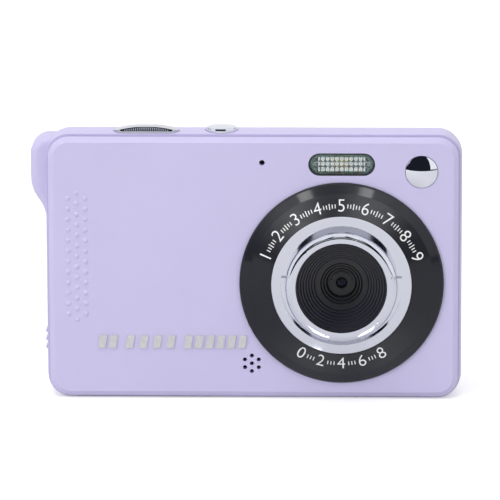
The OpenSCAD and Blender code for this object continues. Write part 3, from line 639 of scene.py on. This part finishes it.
@dataclass(frozen=True)
class PhosphorGel(Finish):
    """Phosphor-filled silicone over a light-emitting chip: matt, saturated and speckled."""

    colours: tuple[str, str] = ("D8C24A", "F0E08A")
    glow: float = 0.0

    def surface(self, tree: Tree, where: Socket) -> Node:
        """Builds the gel.

        Args:
            tree: The material's node tree.
            where: Object coordinates.

        Returns:
            The shader.
        """
        return add_node(
            tree,
            "ShaderNodeBsdfPrincipled",
            {
                "IOR": 1.41,
                "Subsurface Weight": 0.2,
                "Subsurface Scale": mm(0.3),
                "Emission Color": linear(self.colours[1]),
                "Emission Strength": self.glow,
            },
            {
                "Base Color": self.mottle(tree, where, size_mm=0.5, colours=self.colours, detail=5.0),
                "Roughness": self.vary(tree, where, size_mm=0.4, ends=(0.35, 0.5)),
                "Normal": self.grain(tree, where, size_mm=0.12, depth_mm=0.006),
            },
        )


@dataclass(frozen=True)
class DisplayStack(Finish):
    """Liquid-crystal display, switched off: near black, faint columns under the polariser."""

    column_mm: float = 0.5

    def surface(self, tree: Tree, where: Socket) -> Node:
        """Builds the display; the columns are drawn wider than real so that they show.

        Args:
            tree: The material's node tree.
            where: Object coordinates.

        Returns:
            The shader.
        """
        wave = add_node(
            tree,
            "ShaderNodeTexWave",
            {"wave_type": "BANDS", "bands_direction": "X", "Scale": band_scale(self.column_mm)},
            {"Vector": where},
        )
        ramp = add_node(tree, "ShaderNodeValToRGB", links={"Fac": wave.outputs["Fac"]})
        set_ramp(ramp, [(0.0, linear("08090C")), (1.0, linear("101218"))])
        return add_node(
            tree,
            "ShaderNodeBsdfPrincipled",
            {"IOR": 1.5, "Coat Weight": 0.5, "Coat Roughness": 0.05},
            {
                "Base Color": ramp.outputs["Color"],
                "Roughness": self.vary(tree, where, size_mm=8.0, ends=(0.16, 0.22)),
                "Normal": self.grain(tree, where, size_mm=6.0, depth_mm=0.002),
            },
        )


@dataclass(frozen=True)
class SmokedPane(Finish):
    """Smoked cover pane: dark, glossy, with only a breath of orange peel."""

    colours: tuple[str, str] = ("0B0C10", "0E0F14")

    def surface(self, tree: Tree, where: Socket) -> Node:
        """Builds the pane.

        Args:
            tree: The material's node tree.
            where: Object coordinates.

        Returns:
            The shader.
        """
        return add_node(
            tree,
            "ShaderNodeBsdfPrincipled",
            {"IOR": 1.49, "Specular IOR Level": 0.3, "Coat Weight": 0.25, "Coat Roughness": 0.03},
            {
                "Base Color": self.mottle(tree, where, size_mm=20.0, colours=self.colours),
                "Roughness": self.vary(tree, where, size_mm=10.0, ends=(0.06, 0.1)),
                "Normal": self.grain(tree, where, size_mm=9.0, depth_mm=0.002),
            },
        )


@dataclass(frozen=True)
class ScreenInk(Finish):
    """Screen-printed ink: flat, opaque and slightly raised, with a ragged film thickness."""

    colours: tuple[str, str] = ("E6E6E8", "F4F4F5")

    def surface(self, tree: Tree, where: Socket) -> Node:
        """Builds the ink.

        Args:
            tree: The material's node tree.
            where: Object coordinates.

        Returns:
            The shader.
        """
        return add_node(
            tree,
            "ShaderNodeBsdfPrincipled",
            {"IOR": 1.5},
            {
                "Base Color": self.mottle(tree, where, size_mm=0.6, colours=self.colours, detail=5.0),
                "Roughness": self.vary(tree, where, size_mm=0.5, ends=(0.4, 0.55)),
                "Normal": self.grain(tree, where, size_mm=0.2, depth_mm=0.006, detail=3.0),
            },
        )


# Lilac ABS from a spark-eroded mould: satin, evenly coloured, no clear mirror image
LILAC_ABS = MouldedPlastic("lilac_abs_satin_moulded", glow=0.05)
# The keys share the shell's plastic, polished a little more by use
LILAC_KEYS = MouldedPlastic(
    "lilac_abs_key_moulded",
    colours=("C7C1E5", "CBC5E9"),
    roughness=(0.32, 0.4),
    grain_mm=0.5,
    depth_mm=0.003,
)
# Lilac TPE of the port cover: soft and dusty
LILAC_TPE = SoftRubber("lilac_tpe_moulded")
# Black ABS of the lens ring: a soft mirror image over rays of sheen from its turned mould
BLACK_GLOSS = TurnedPlastic(
    "black_abs_turned_mould_lacquered",
    colours=("080A12", "0A0C15"),
    roughness=(0.32, 0.35),
    grain_mm=1.2,
    depth_mm=0.0008,
    specular=0.17,
    lacquer=0.42,
)
# Black polycarbonate of the lens hood: dull, so that the steps catch thin lines of light; its deeper part
# carries painted shade
BLACK_HOOD = DeepShadedPlastic(
    "black_polycarbonate_matt_deep_shaded",
    colours=("191A24", "1F202A"),
    roughness=(0.32, 0.4),
    grain_mm=0.2,
    depth_mm=0.003,
    ior=1.58,
    specular=0.46,
)
# Black glass-filled nylon of switches, chips, microphone and speaker: dry and grainy
BLACK_NYLON = MouldedPlastic(
    "black_nylon_glass_filled",
    colours=("121214", "1A1A1D"),
    roughness=(0.5, 0.62),
    grain_mm=0.25,
    depth_mm=0.012,
    ior=1.53,
)
# Dark grey ABS of the screen's frame: plain and matt
GREY_FRAME = MouldedPlastic(
    "grey_abs_frame_moulded",
    colours=("3A3A3E", "424247"),
    roughness=(0.45, 0.55),
    grain_mm=0.4,
    depth_mm=0.008,
)
# Chrome plating of the lens barrel, the power button and the OK key: bright and clean
CHROME = PlatedMetal("chrome_plated_abs")
# The same plating on the shutter button, dulled a little by fingertips
TOUCHED_CHROME = PlatedMetal("chrome_plated_abs_handled", colour="C2C5D0", roughness=(0.09, 0.15))
# Vacuum-metallised dome of the mirror: the brightest finish of all
MIRROR_COAT = PlatedMetal(
    "aluminised_mirror_dome", colour="E4E6F2", roughness=(0.01, 0.02), wave_mm=8.0, wave_depth_mm=0.0004
)
# Hot-stamped silver of the raised bars: bright with dull spots
SILVER_FOIL = HotFoil("silver_hot_foil")
# Stamped steel of sockets and key domes: grey, with the lines of the rolled strip
STEEL = BrushedMetal("steel_stamped_rolled")
# Zinc-plated steel of screws and pins: bluish, with turning lines
ZINC_STEEL = BrushedMetal(
    "steel_zinc_plated_turned",
    colours=("9FA3AA", "B4B8BF"),
    roughness=(0.25, 0.38),
    line_mm=0.1,
    stretch=(0.1, 0.1, 1.0),
)
# Turned brass of the tripod insert: warm, with turning lines
BRASS = BrushedMetal(
    "brass_turned",
    colours=("B99A55", "CBAE69"),
    roughness=(0.2, 0.32),
    line_mm=0.2,
    stretch=(0.1, 0.1, 1.0),
)
# Clear acrylic of the flash window: a little clouded by its pyramids
ACRYLIC = ClearPlastic("acrylic_clear_moulded", tint="E0E6E6", roughness=0.14)
# Coated front glass of the lens: smooth, tinted dark as painted shade of the lens's inside
LENS_GLASS = CoatedGlass("optical_glass_coated", tint="5A5E6C")
# Infra-red filter glass behind the lens: blue, tinted dark as painted shade of the lens's inside
FILTER_GLASS = CoatedGlass("infrared_filter_glass", tint="2F4250", ior=1.52)
# Green circuit boards: lighter traces under the mask
BOARD = SolderMask("glass_epoxy_green_mask")
# The flash's own board: mask and traces painted paler, as painted light where the window lets light in
FLASH_BOARD_PAINTED_LIGHT = SolderMask("glass_epoxy_green_mask_painted_light", mask=("7AB0A8", "8ABEB6"), trace="A8D2C8")
# Flash chip under its yellow gel: matt and speckled
YELLOW_GEL = PhosphorGel("phosphor_gel_yellow")
# Light pipe of the charge lamp: green, with a faint glow
GREEN_LENS = PhosphorGel("light_pipe_green", colours=("2E9E55", "59C27A"), glow=0.15)
# Brown chip resistors of the flash: fired ceramic, matt
BROWN_CHIP = MouldedPlastic(
    "ceramic_chip_brown",
    colours=("5A3A2C", "7A5140"),
    roughness=(0.4, 0.5),
    grain_mm=0.3,
    depth_mm=0.01,
)
# Image sensor under its cover glass: dark violet
SENSOR_FACE = SmokedPane("sensor_cover_glass", colours=("101522", "1A1C2E"))
# Lithium cell in its polyester wrap: dark and slightly crinkled
CELL_WRAP = MouldedPlastic(
    "cell_polyester_wrap",
    colours=("20242E", "272C38"),
    roughness=(0.3, 0.42),
    grain_mm=5.0,
    depth_mm=0.05,
)
# Display, switched off, and the smoked acrylic pane over it
DISPLAY = DisplayStack("liquid_crystal_display_off")
PANE = SmokedPane("smoked_acrylic_pane")
# White print on the lens ring and grey print on the keys
WHITE_INK = ScreenInk("white_screen_ink")
GREY_INK = ScreenInk("grey_screen_ink", colours=("6E6A86", "77738F"))


def dress(node: str, finish: Finish) -> None:
    """Gives a CAD node its finish.

    Args:
        node: The node's name.
        finish: The finish for the whole node.
    """
    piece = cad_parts[node]
    for place in piece.material_slots:
        place.material = finish.make()
    log.info("dressed %s in %s", node, finish.name)


# ---------------------------------------------------------------- pieces


def new_piece(name: str, mesh: bpy.types.Mesh, finish: Finish, body: str) -> bpy.types.Object:
    """Puts a mesh in the scene as a piece that rides on a body.

    Args:
        name: The piece's name.
        mesh: Its mesh, in place, in metres.
        finish: Its finish.
        body: The CAD body that it moves with.

    Returns:
        The new object.
    """
    piece = bpy.data.objects.new(name, mesh)
    bpy.context.scene.collection.objects.link(piece)
    mesh.materials.append(finish.make())
    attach(piece, body)
    log.info("built %s on %s", name, body)
    return piece


@dataclass
class Marks:
    """Printed marks: flat shapes given a film's thickness and laid on a surface."""

    film: float = 0.03
    thinning: float = 0.03
    size_per_height: float = 1.4
    curve_steps: int = 5
    weld: float = 0.0001
    verts: list[Vector] = field(default_factory=list)
    faces: list[tuple[int, ...]] = field(default_factory=list)

    def outline(self, points: list[Flat], lay: Lay) -> None:
        """Adds a closed flat shape as a thin solid.

        Args:
            points: The outline, anticlockwise, in millimetres.
            lay: Turns flat coordinates and a height over the surface to a place in metres.
        """
        n = len(points)
        base = len(self.verts)
        self.verts += [lay(u, v, self.film) for u, v in points]
        self.verts += [lay(u, v, -self.film) for u, v in points]
        self.faces.append(tuple(base + i for i in range(n)))
        self.faces.append(tuple(base + n + i for i in reversed(range(n))))
        for i in range(n):
            j = (i + 1) % n
            self.faces.append((base + i, base + n + i, base + n + j, base + j))

    def glyph(self, text: str, height: float, lay: Lay) -> None:
        """Adds plain characters, centred on the origin of the flat coordinates.

        Args:
            text: The characters.
            height: Height of a figure in millimetres.
            lay: As in outline.
        """
        curve = bpy.data.curves.new("glyph", "FONT")
        curve.body = text
        curve.size = height * self.size_per_height
        curve.align_x = "CENTER"
        curve.align_y = "CENTER"
        curve.extrude = self.film
        curve.offset = -self.thinning
        curve.resolution_u = self.curve_steps
        holder = bpy.data.objects.new("glyph", curve)
        mesh = holder.to_mesh()
        base = len(self.verts)
        self.verts += [lay(v.co.x, v.co.y, v.co.z) for v in mesh.vertices]
        self.faces += [tuple(base + i for i in p.vertices) for p in mesh.polygons]
        holder.to_mesh_clear()
        bpy.data.objects.remove(holder)
        bpy.data.curves.remove(curve)

    def mesh(self, name: str) -> bpy.types.Mesh:
        """Makes one mesh of all the marks, with its faces turned outwards.

        Args:
            name: The mesh's name.

        Returns:
            The mesh.
        """
        mesh = bpy.data.meshes.new(name)
        mesh.from_pydata(self.verts, [], self.faces)
        work = bmesh.new()
        work.from_mesh(mesh)
        bmesh.ops.remove_doubles(work, verts=work.verts, dist=mm(self.weld))
        bmesh.ops.recalc_face_normals(work, faces=work.faces)
        work.to_mesh(mesh)
        work.free()
        return mesh


@dataclass
class Covers:
    """The two halves of the body and what holds them together."""

    def dress(self) -> None:
        """Dresses the covers, doors, screws and trim."""
        for node in ("front_cover", "rear_cover", "battery_door"):
            dress(node, LILAC_ABS)
        dress("port_cover", LILAC_TPE)
        dress("trim_bars", SILVER_FOIL)
        dress("tripod_nut", BRASS)
        for node in ("case_screws", "battery_door_pin", "port_cover_pin"):
            dress(node, ZINC_STEEL)


class Arc(Enum):
    """The arc of the ring that a mark is printed on; the sign says which way the mark's top points."""

    UPPER = 1.0
    LOWER = -1.0


@dataclass(frozen=True)
class ScaleArc:
    """One arc of the ring's scale: its figures, where they stand, and the ticks between them."""

    arc: Arc
    figures: str
    start_deg: float
    step_deg: float
    ticks: int
    first_tick: float
    tick_gap: float
    long_tick: int = 0


@dataclass
class LensUnit:
    """The lens: a black conical ring, a chrome barrel, a stepped hood and the small lens behind."""

    face_y: float = -6.75
    inner_r: float = 16.55
    inner_h: float = 3.1
    outer_r: float = 21.65
    outer_h: float = 1.75
    print_r: float = 18.85
    figure_h: float = 2.95
    tick_h: float = 0.9
    long_tick_times: float = 1.5
    tick_w: float = 0.22
    scale: tuple[ScaleArc, ...] = (
        ScaleArc(Arc.UPPER, "123456789", 159.0, -17.25, ticks=5, first_tick=0.14, tick_gap=0.12, long_tick=3),
        ScaleArc(Arc.LOWER, "02468", 240.0, 15.0, ticks=3, first_tick=0.2, tick_gap=0.15),
    )

    def on_ring(self, radius: float, angle: float, height: float) -> Vector:
        """A place on the ring's cone.

        Args:
            radius: Distance from the lens axis.
            angle: Angle round the axis in radians, anticlockwise from the right.
            height: Height over the cone.

        Returns:
            The place in metres.
        """
        x, _, z = middle_mm("lens_bezel")
        slope = (self.inner_h - self.outer_h) / (self.outer_r - self.inner_r)
        rise = self.outer_h + (self.outer_r - radius) * slope + height
        across, up = radius * math.cos(angle), radius * math.sin(angle)
        return Vector((mm(x + across), mm(self.face_y - rise), mm(z + up)))

    def lay_on(self, arc: Arc, at_deg: float) -> Lay:
        """Lays flat marks on the ring.

        Args:
            arc: The arc, which says which way the mark's top points.
            at_deg: Where on the ring the mark's middle is, anticlockwise from the right.

        Returns:
            What turns flat coordinates and a height to a place.
        """
        at, way = math.radians(at_deg), arc.value
        return lambda u, v, h: self.on_ring(self.print_r + way * v, at - way * u / self.print_r, h)

    def tick(self, marks: Marks, lay: Lay, height: float) -> None:
        """Adds one short stroke."""
        w, h = self.tick_w / 2, height / 2
        marks.outline([(-w, -h), (w, -h), (w, h), (-w, h)], lay)

    def print_arc(self, marks: Marks, row: ScaleArc) -> None:
        """Adds one arc's figures, each followed by the ticks that lead to the next.

        Args:
            marks: The print so far.
            row: The arc's figures and ticks.
        """
        for i, figure in enumerate(row.figures):
            marks.glyph(figure, self.figure_h, self.lay_on(row.arc, row.start_deg + i * row.step_deg))
            if i + 1 == len(row.figures):
                break
            for k in range(1, row.ticks + 1):
                at = row.start_deg + (i + row.first_tick + k * row.tick_gap) * row.step_deg
                times = self.long_tick_times if k == row.long_tick else 1.0
                self.tick(marks, self.lay_on(row.arc, at), self.tick_h * times)

    def build_scale(self) -> None:
        """Builds the printed scale: plain figures with ticks between them."""
        marks = Marks()
        for row in self.scale:
            self.print_arc(marks, row)
        new_piece("lens_ring_scale", marks.mesh("lens_ring_scale"), WHITE_INK, "camera_body")

    def dress(self) -> None:
        """Dresses the lens."""
        dress("lens_bezel", BLACK_GLOSS)
        dress("chrome_barrel", CHROME)
        dress("lens_hood", BLACK_HOOD)
        for node in ("lens_holder", "lens_barrel"):
            dress(node, BLACK_HOOD)
        dress("lens_element", LENS_GLASS)
        dress("ir_filter", FILTER_GLASS)
        dress("image_sensor", SENSOR_FACE)
        dress("sensor_board", BOARD)


@dataclass
class FrontDetails:
    """Flash, mirror, microphone and speaker."""

    def dress(self) -> None:
        """Dresses the small pieces of the front."""
        dress("flash_window", ACRYLIC)
        dress("flash_board", FLASH_BOARD_PAINTED_LIGHT)
        dress("flash_led", YELLOW_GEL)
        dress("flash_components", BROWN_CHIP)
        dress("selfie_mirror", MIRROR_COAT)
        dress("microphone", BLACK_NYLON)
        dress("speaker", BLACK_NYLON)


@dataclass
class Controls:
    """Buttons on top and keys on the back, with their ribs and printed marks."""

    key_top_y: float = 12.85
    key_film: float = 0.02
    mark_r: float = 1.1
    bar_half: float = 0.15
    bar_rise: float = 0.7
    block_share: float = 0.7
    bin_share: Flat = (0.9, 0.8)
    bin_drop: float = -0.3
    bin_lid_rise: float = 0.8
    triangle: tuple[Flat, ...] = ((0.9, 0.0), (-0.6, 0.8), (-0.6, -0.8))
    rib_pitch: float = 0.5
    rib_r: float = 0.13
    rib_count: int = 21
    rib_sides: int = 8
    lip_depth: float = 2.1
    lip_drop: float = 1.05
    lip_lean: float = 0.26
    lip_margin: float = 0.22
    crown_r: float = 27.5
    lilac_keys: tuple[str, ...] = (
        "mode_key",
        "menu_key",
        "play_key",
        "delete_key",
        "up_key",
        "right_key",
        "down_key",
        "left_key",
        "zoom_rocker",
    )

    def on_back(self, x: float, z: float, y: float) -> Lay:
        """Lays flat marks on a face that looks along +Y, upright when seen from behind."""
        return lambda u, v, h: Vector((mm(x - u), mm(y + h), mm(z + v)))

    def rib_ring(self, x: float, y: float, z: float) -> list[Vector]:
        """The corners round one end of a rib.

        Args:
            x: Middle of the end in x, in millimetres.
            y: Middle of the end in y.
            z: Height of the end.

        Returns:
            The corners in metres.
        """
        turns = [2 * math.pi * i / self.rib_sides for i in range(self.rib_sides)]
        return [Vector((x + self.rib_r * math.cos(t), y + self.rib_r * math.sin(t), z)) * MM for t in turns]

    def build_ribs(self) -> None:
        """Builds the fine upright ribs on the front lip of the shutter button."""
        x0, y0, _ = middle_mm("shutter_button")
        top = in_mm(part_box("shutter_button")[1].z)
        foot = top - self.lip_drop
        front = y0 - self.lip_depth
        n = self.rib_sides
        verts: list[Vector] = []
        faces: list[tuple[int, ...]] = []
        for k in range(self.rib_count):
            dx = (k - (self.rib_count - 1) / 2) * self.rib_pitch
            crown = self.crown_r - math.sqrt(self.crown_r**2 - dx**2)
            base = len(verts)
            for z in (foot, top - self.lip_margin - crown):
                verts += self.rib_ring(x0 + dx, front + (z - foot) * self.lip_lean, z)
            faces += [(base + i, base + (i + 1) % n, base + n + (i + 1) % n, base + n + i) for i in range(n)]
            faces.append(tuple(base + i for i in reversed(range(n))))
            faces.append(tuple(base + n + i for i in range(n)))
        mesh = bpy.data.meshes.new("shutter_ribs")
        mesh.from_pydata(verts, [], faces)
        for face in mesh.polygons:
            face.use_smooth = len(face.vertices) == 4
        new_piece("shutter_ribs", mesh, TOUCHED_CHROME, "shutter_button")

    def block(self, half_w: float, half_h: float, rise: float = 0.0) -> list[Flat]:
        """A rectangle, anticlockwise, with its middle raised by rise."""
        low, high = rise - half_h, rise + half_h
        return [(-half_w, low), (half_w, low), (half_w, high), (-half_w, high)]

    def build_marks(self) -> None:
        """Builds a small plain mark on each round key."""
        r = self.mark_r
        side = r * self.block_share
        bin_w, bin_h = self.bin_share
        shapes = {
            "play_key": [[(r * u, r * v) for u, v in self.triangle]],
            "menu_key": [self.block(r, self.bar_half, rise) for rise in (-self.bar_rise, 0.0, self.bar_rise)],
            "mode_key": [self.block(side, side)],
            "delete_key": [
                self.block(side * bin_w, side * bin_h, self.bin_drop),
                self.block(r, self.bar_half, self.bin_lid_rise),
            ],
        }
        for node, outlines in shapes.items():
            marks = Marks(self.key_film)
            x, _, z = middle_mm(node)
            for outline in outlines:
                marks.outline(outline, self.on_back(x, z, self.key_top_y))
            new_piece(node + "_mark", marks.mesh(node + "_mark"), GREY_INK, node)

    def dress(self) -> None:
        """Dresses the buttons and keys."""
        dress("shutter_button", TOUCHED_CHROME)
        for node in ("power_button", "ok_key"):
            dress(node, CHROME)
        for node in self.lilac_keys:
            dress(node, LILAC_KEYS)
        dress("rocker_pin", ZINC_STEEL)
        for node in ("shutter_switch", "power_switch"):
            dress(node, BLACK_NYLON)
        dress("key_switches", STEEL)


@dataclass
class ScreenUnit:
    """The screen on the back and its charge lamp."""

    def dress(self) -> None:
        """Dresses the screen's layers."""
        dress("lcd_window", PANE)
        dress("lcd_panel", DISPLAY)
        dress("lcd_frame", GREY_FRAME)
        dress("status_led", GREEN_LENS)


@dataclass
class Internals:
    """Boards, sockets and the cell."""

    def dress(self) -> None:
        """Dresses the inner pieces."""
        for node in ("top_switch_board", "main_board", "key_board", "port_board"):
            dress(node, BOARD)
        for node in ("board_chips", "battery_contacts"):
            dress(node, BLACK_NYLON)
        for node in ("usb_socket", "card_socket"):
            dress(node, STEEL)
        dress("board_screws", ZINC_STEEL)
        dress("battery", CELL_WRAP)


# ---------------------------------------------------------------- studio

# Places that lamps aim at, in metres, and the nodes that some of them light alone
TO_BODY: Place = (0.0, 0.0, 0.03)
TO_LENS: Place = (0.02, 0.0, 0.03)
TO_RING: Place = (0.0207, -0.012, 0.0281)
RING = ("lens_bezel",)
BARREL = ("chrome_barrel",)


@dataclass
class Lamp:
    """One soft box: where it stands, where it aims, its size in metres, its power, and what it lights."""

    name: str
    place: Place
    aim: Place
    size: tuple[float, float]
    watts: float
    only: tuple[str, ...] = ()

    def build(self) -> None:
        """Adds the soft box to the scene; one made for a few nodes lights and shows in those alone."""
        data = bpy.data.lights.new(self.name, "AREA")
        data.shape = "RECTANGLE"
        data.size, data.size_y = self.size
        data.energy = self.watts
        lamp = bpy.data.objects.new(self.name, data)
        bpy.context.scene.collection.objects.link(lamp)
        lamp.location = self.place
        direction = Vector(self.aim) - Vector(self.place)
        lamp.rotation_euler = direction.to_track_quat("-Z", "Y").to_euler()
        lamp.visible_camera = False
        lamp.visible_glossy = bool(self.only)
        if self.only:
            group = bpy.data.collections.new(self.name + "_lights")
            for node in self.only:
                group.objects.link(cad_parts[node])
            lamp.light_linking.receiver_collection = group


# Wide boxes for the whole camera, strips that the ring's bevel mirrors, boxes that draw rays in the
# ring's sheen, and panes and glints that give the chrome barrel its light and dark fields
LAMPS = (
    Lamp("soft_box_above", (-0.2, -0.3, 0.95), TO_BODY, (0.9, 0.7), 4.2),
    Lamp("soft_box_left", (-0.7, -0.8, 0.45), TO_BODY, (0.5, 0.6), 3.3),
    Lamp("soft_box_right", (0.9, -0.7, 0.4), TO_BODY, (0.5, 0.6), 1.35),
    Lamp("soft_box_behind", (0.2, 0.9, 0.7), TO_BODY, (0.6, 0.5), 2.2),
    Lamp("strip_box_left", (-0.162, -0.5, 0.338), TO_LENS, (0.07, 0.035), 0.078, RING),
    Lamp("strip_box_right", (0.13, -0.5, 0.348), TO_LENS, (0.07, 0.035), 0.078, RING),
    Lamp("ray_box_left", (-0.067, -0.4526, 0.0528), TO_RING, (0.09, 0.09), 1.1, RING),
    Lamp("ray_box_right", (0.0662, -0.4584, 0.0618), TO_RING, (0.09, 0.09), 1.1, RING),
    Lamp("pane_front", (0.0, -0.5, 0.12), TO_LENS, (0.24, 0.08), 0.034, BARREL),
    Lamp("glint_left", (0.0105, -0.043, 0.001), (0.0105, -0.043, 1.0), (0.009, 0.036), 0.0018, BARREL),
    Lamp("glint_right", (0.0325, -0.043, 0.001), (0.0325, -0.043, 1.0), (0.009, 0.036), 0.0018, BARREL),
    Lamp("pane_left", (-0.15, -0.45, 0.36), TO_LENS, (0.1, 0.2), 0.05, BARREL),
    Lamp("pane_middle", (0.0, -0.45, 0.36), TO_LENS, (0.1, 0.2), 0.05, BARREL),
    Lamp("pane_right", (0.15, -0.45, 0.36), TO_LENS, (0.1, 0.2), 0.05, BARREL),
)


@dataclass
class Studio:
    """Pale floor, white surround, soft boxes, a dark card by the camera, and the camera.

    The camera's target and distance are in millimetres; the floor and the card are in metres.
    """

    target: Place = (-0.75, -6.75, 35.9)
    distance: float = 1080.0
    elevation: float = 12.0
    azimuth: float = 1.8
    roll: float = -0.19
    focal: float = 332.0
    ambient: float = 0.53
    floor_half: float = 4.0
    floor_grey: Rgba = (0.8, 0.8, 0.8, 1.0)
    floor_lift: float = 0.4
    card_colour: Rgba = (0.012, 0.014, 0.02, 1.0)
    card_y: float = -0.55
    card_edge: tuple[Flat, ...] = (
        (-0.74, 0.0),
        (-0.68, 0.05),
        (-0.53, 0.22),
        (-0.375, 0.38),
        (-0.29, 0.5),
        (-0.212, 0.575),
        (-0.12, 0.61),
        (-0.026, 0.615),
        (0.09, 0.605),
        (0.2, 0.565),
        (0.275, 0.46),
        (0.325, 0.362),
        (0.355, 0.163),
        (0.355, 0.04),
        (0.7, 0.03),
        (0.7, 0.0),
    )

    def build_world(self) -> None:
        """A white surround for the eye, for gloss and for glass, and an even grey one for soft light."""
        world = bpy.data.worlds.new("studio_surround")
        bpy.context.scene.world = world
        world.use_nodes = True
        tree = world.node_tree
        tree.nodes.clear()
        path = add_node(tree, "ShaderNodeLightPath").outputs
        either = {"operation": "MAXIMUM"}
        shown = add_node(tree, "ShaderNodeMath", either, {0: path["Is Camera Ray"], 1: path["Is Glossy Ray"]})
        through = path["Is Transmission Ray"]
        clear = add_node(tree, "ShaderNodeMath", either, {0: shown.outputs[0], 1: through})
        soft = add_node(tree, "ShaderNodeBackground", {"Color": WHITE, "Strength": self.ambient})
        white = add_node(tree, "ShaderNodeBackground", {"Color": WHITE, "Strength": 1.0})
        links = {0: clear.outputs[0], 1: soft.outputs[0], 2: white.outputs[0]}
        mix = add_node(tree, "ShaderNodeMixShader", links=links)
        add_node(tree, "ShaderNodeOutputWorld", links={"Surface": mix.outputs[0]})

    @staticmethod
    def sheet(name: str, corners: list[Place], material: bpy.types.Material) -> bpy.types.Object:
        """Builds a flat sheet that is part of the studio.

        Args:
            name: The sheet's name.
            corners: Its corners in order, in metres.
            material: Its material.

        Returns:
            The sheet.
        """
        mesh = bpy.data.meshes.new(name)
        mesh.from_pydata(corners, [], [tuple(range(len(corners)))])
        mesh.materials.append(material)
        sheet = bpy.data.objects.new(name, mesh)
        bpy.context.scene.collection.objects.link(sheet)
        return sheet

    def build_floor(self) -> None:
        """A wide pale floor that whitens away from the object's shadow."""
        material = blank_material("studio_floor")
        tree = material.node_tree
        path = add_node(tree, "ShaderNodeLightPath").outputs
        times = {"operation": "MULTIPLY", 1: self.floor_lift}
        lift = add_node(tree, "ShaderNodeMath", times, {0: path["Is Camera Ray"]})
        matt = add_node(tree, "ShaderNodeBsdfDiffuse", {"Color": self.floor_grey})
        glow = add_node(tree, "ShaderNodeEmission", {"Color": WHITE}, {"Strength": lift.outputs[0]})
        both = add_node(tree, "ShaderNodeAddShader", links={0: matt.outputs[0], 1: glow.outputs[0]})
        add_node(tree, "ShaderNodeOutputMaterial", links={"Surface": both.outputs[0]})
        half, low = self.floor_half, CAD_BOX[0].z
        corners = [(-half, -half, low), (half, -half, low), (half, half, low), (-half, half, low)]
        self.sheet("studio_floor", corners, material)

    def build_card(self) -> None:
        """A black card with a rounded top in front of the object, seen only in gloss."""
        material = blank_material("studio_black_card")
        tree = material.node_tree
        dark = add_node(tree, "ShaderNodeEmission", {"Color": self.card_colour, "Strength": 1.0})
        add_node(tree, "ShaderNodeOutputMaterial", links={"Surface": dark.outputs[0]})
        corners = [(x, self.card_y, CAD_BOX[0].z + z) for x, z in self.card_edge]
        card = self.sheet("studio_black_card", corners, material)
        card.visible_camera = False
        card.visible_diffuse = False
        card.visible_shadow = False
        card.visible_transmission = False

    def build_camera(self) -> None:
        """The camera, a little above the object and a touch to its right."""
        data = bpy.data.cameras.new("studio_camera")
        data.lens = self.focal
        data.sensor_width = 36.0
        data.clip_start = 0.01
        data.clip_end = 20.0
        data.dof.use_dof = False
        camera = bpy.data.objects.new("studio_camera", data)
        bpy.context.scene.collection.objects.link(camera)
        e, a = math.radians(self.elevation), math.radians(self.azimuth)
        out = Vector((math.sin(a) * math.cos(e), -math.cos(a) * math.cos(e), math.sin(e)))
        target = Vector(self.target) * MM
        camera.location = target + out * mm(self.distance)
        turn = (-out).to_track_quat("-Z", "Y").to_matrix().to_4x4()
        turn = turn @ Matrix.Rotation(math.radians(self.roll), 4, "Z")
        camera.rotation_euler = turn.to_euler()
        bpy.context.scene.camera = camera

    def build(self) -> None:
        """Builds the whole studio."""
        self.build_camera()
        self.build_world()
        self.build_floor()
        self.build_card()
        for lamp in LAMPS:
            lamp.build()
        bpy.context.scene.view_settings.view_transform = "Standard"
        log.info("built the studio")


def main() -> None:
    """Builds the studio and dresses the camera, sub-assembly by sub-assembly."""
    logging.basicConfig(level=logging.INFO, format="%(name)s: %(message)s")
    Studio().build()
    Covers().dress()
    lens = LensUnit()
    lens.dress()
    lens.build_scale()
    FrontDetails().dress()
    controls = Controls()
    controls.dress()
    controls.build_ribs()
    controls.build_marks()
    ScreenUnit().dress()
    Internals().dress()


if __name__ == "__main__":
    main()
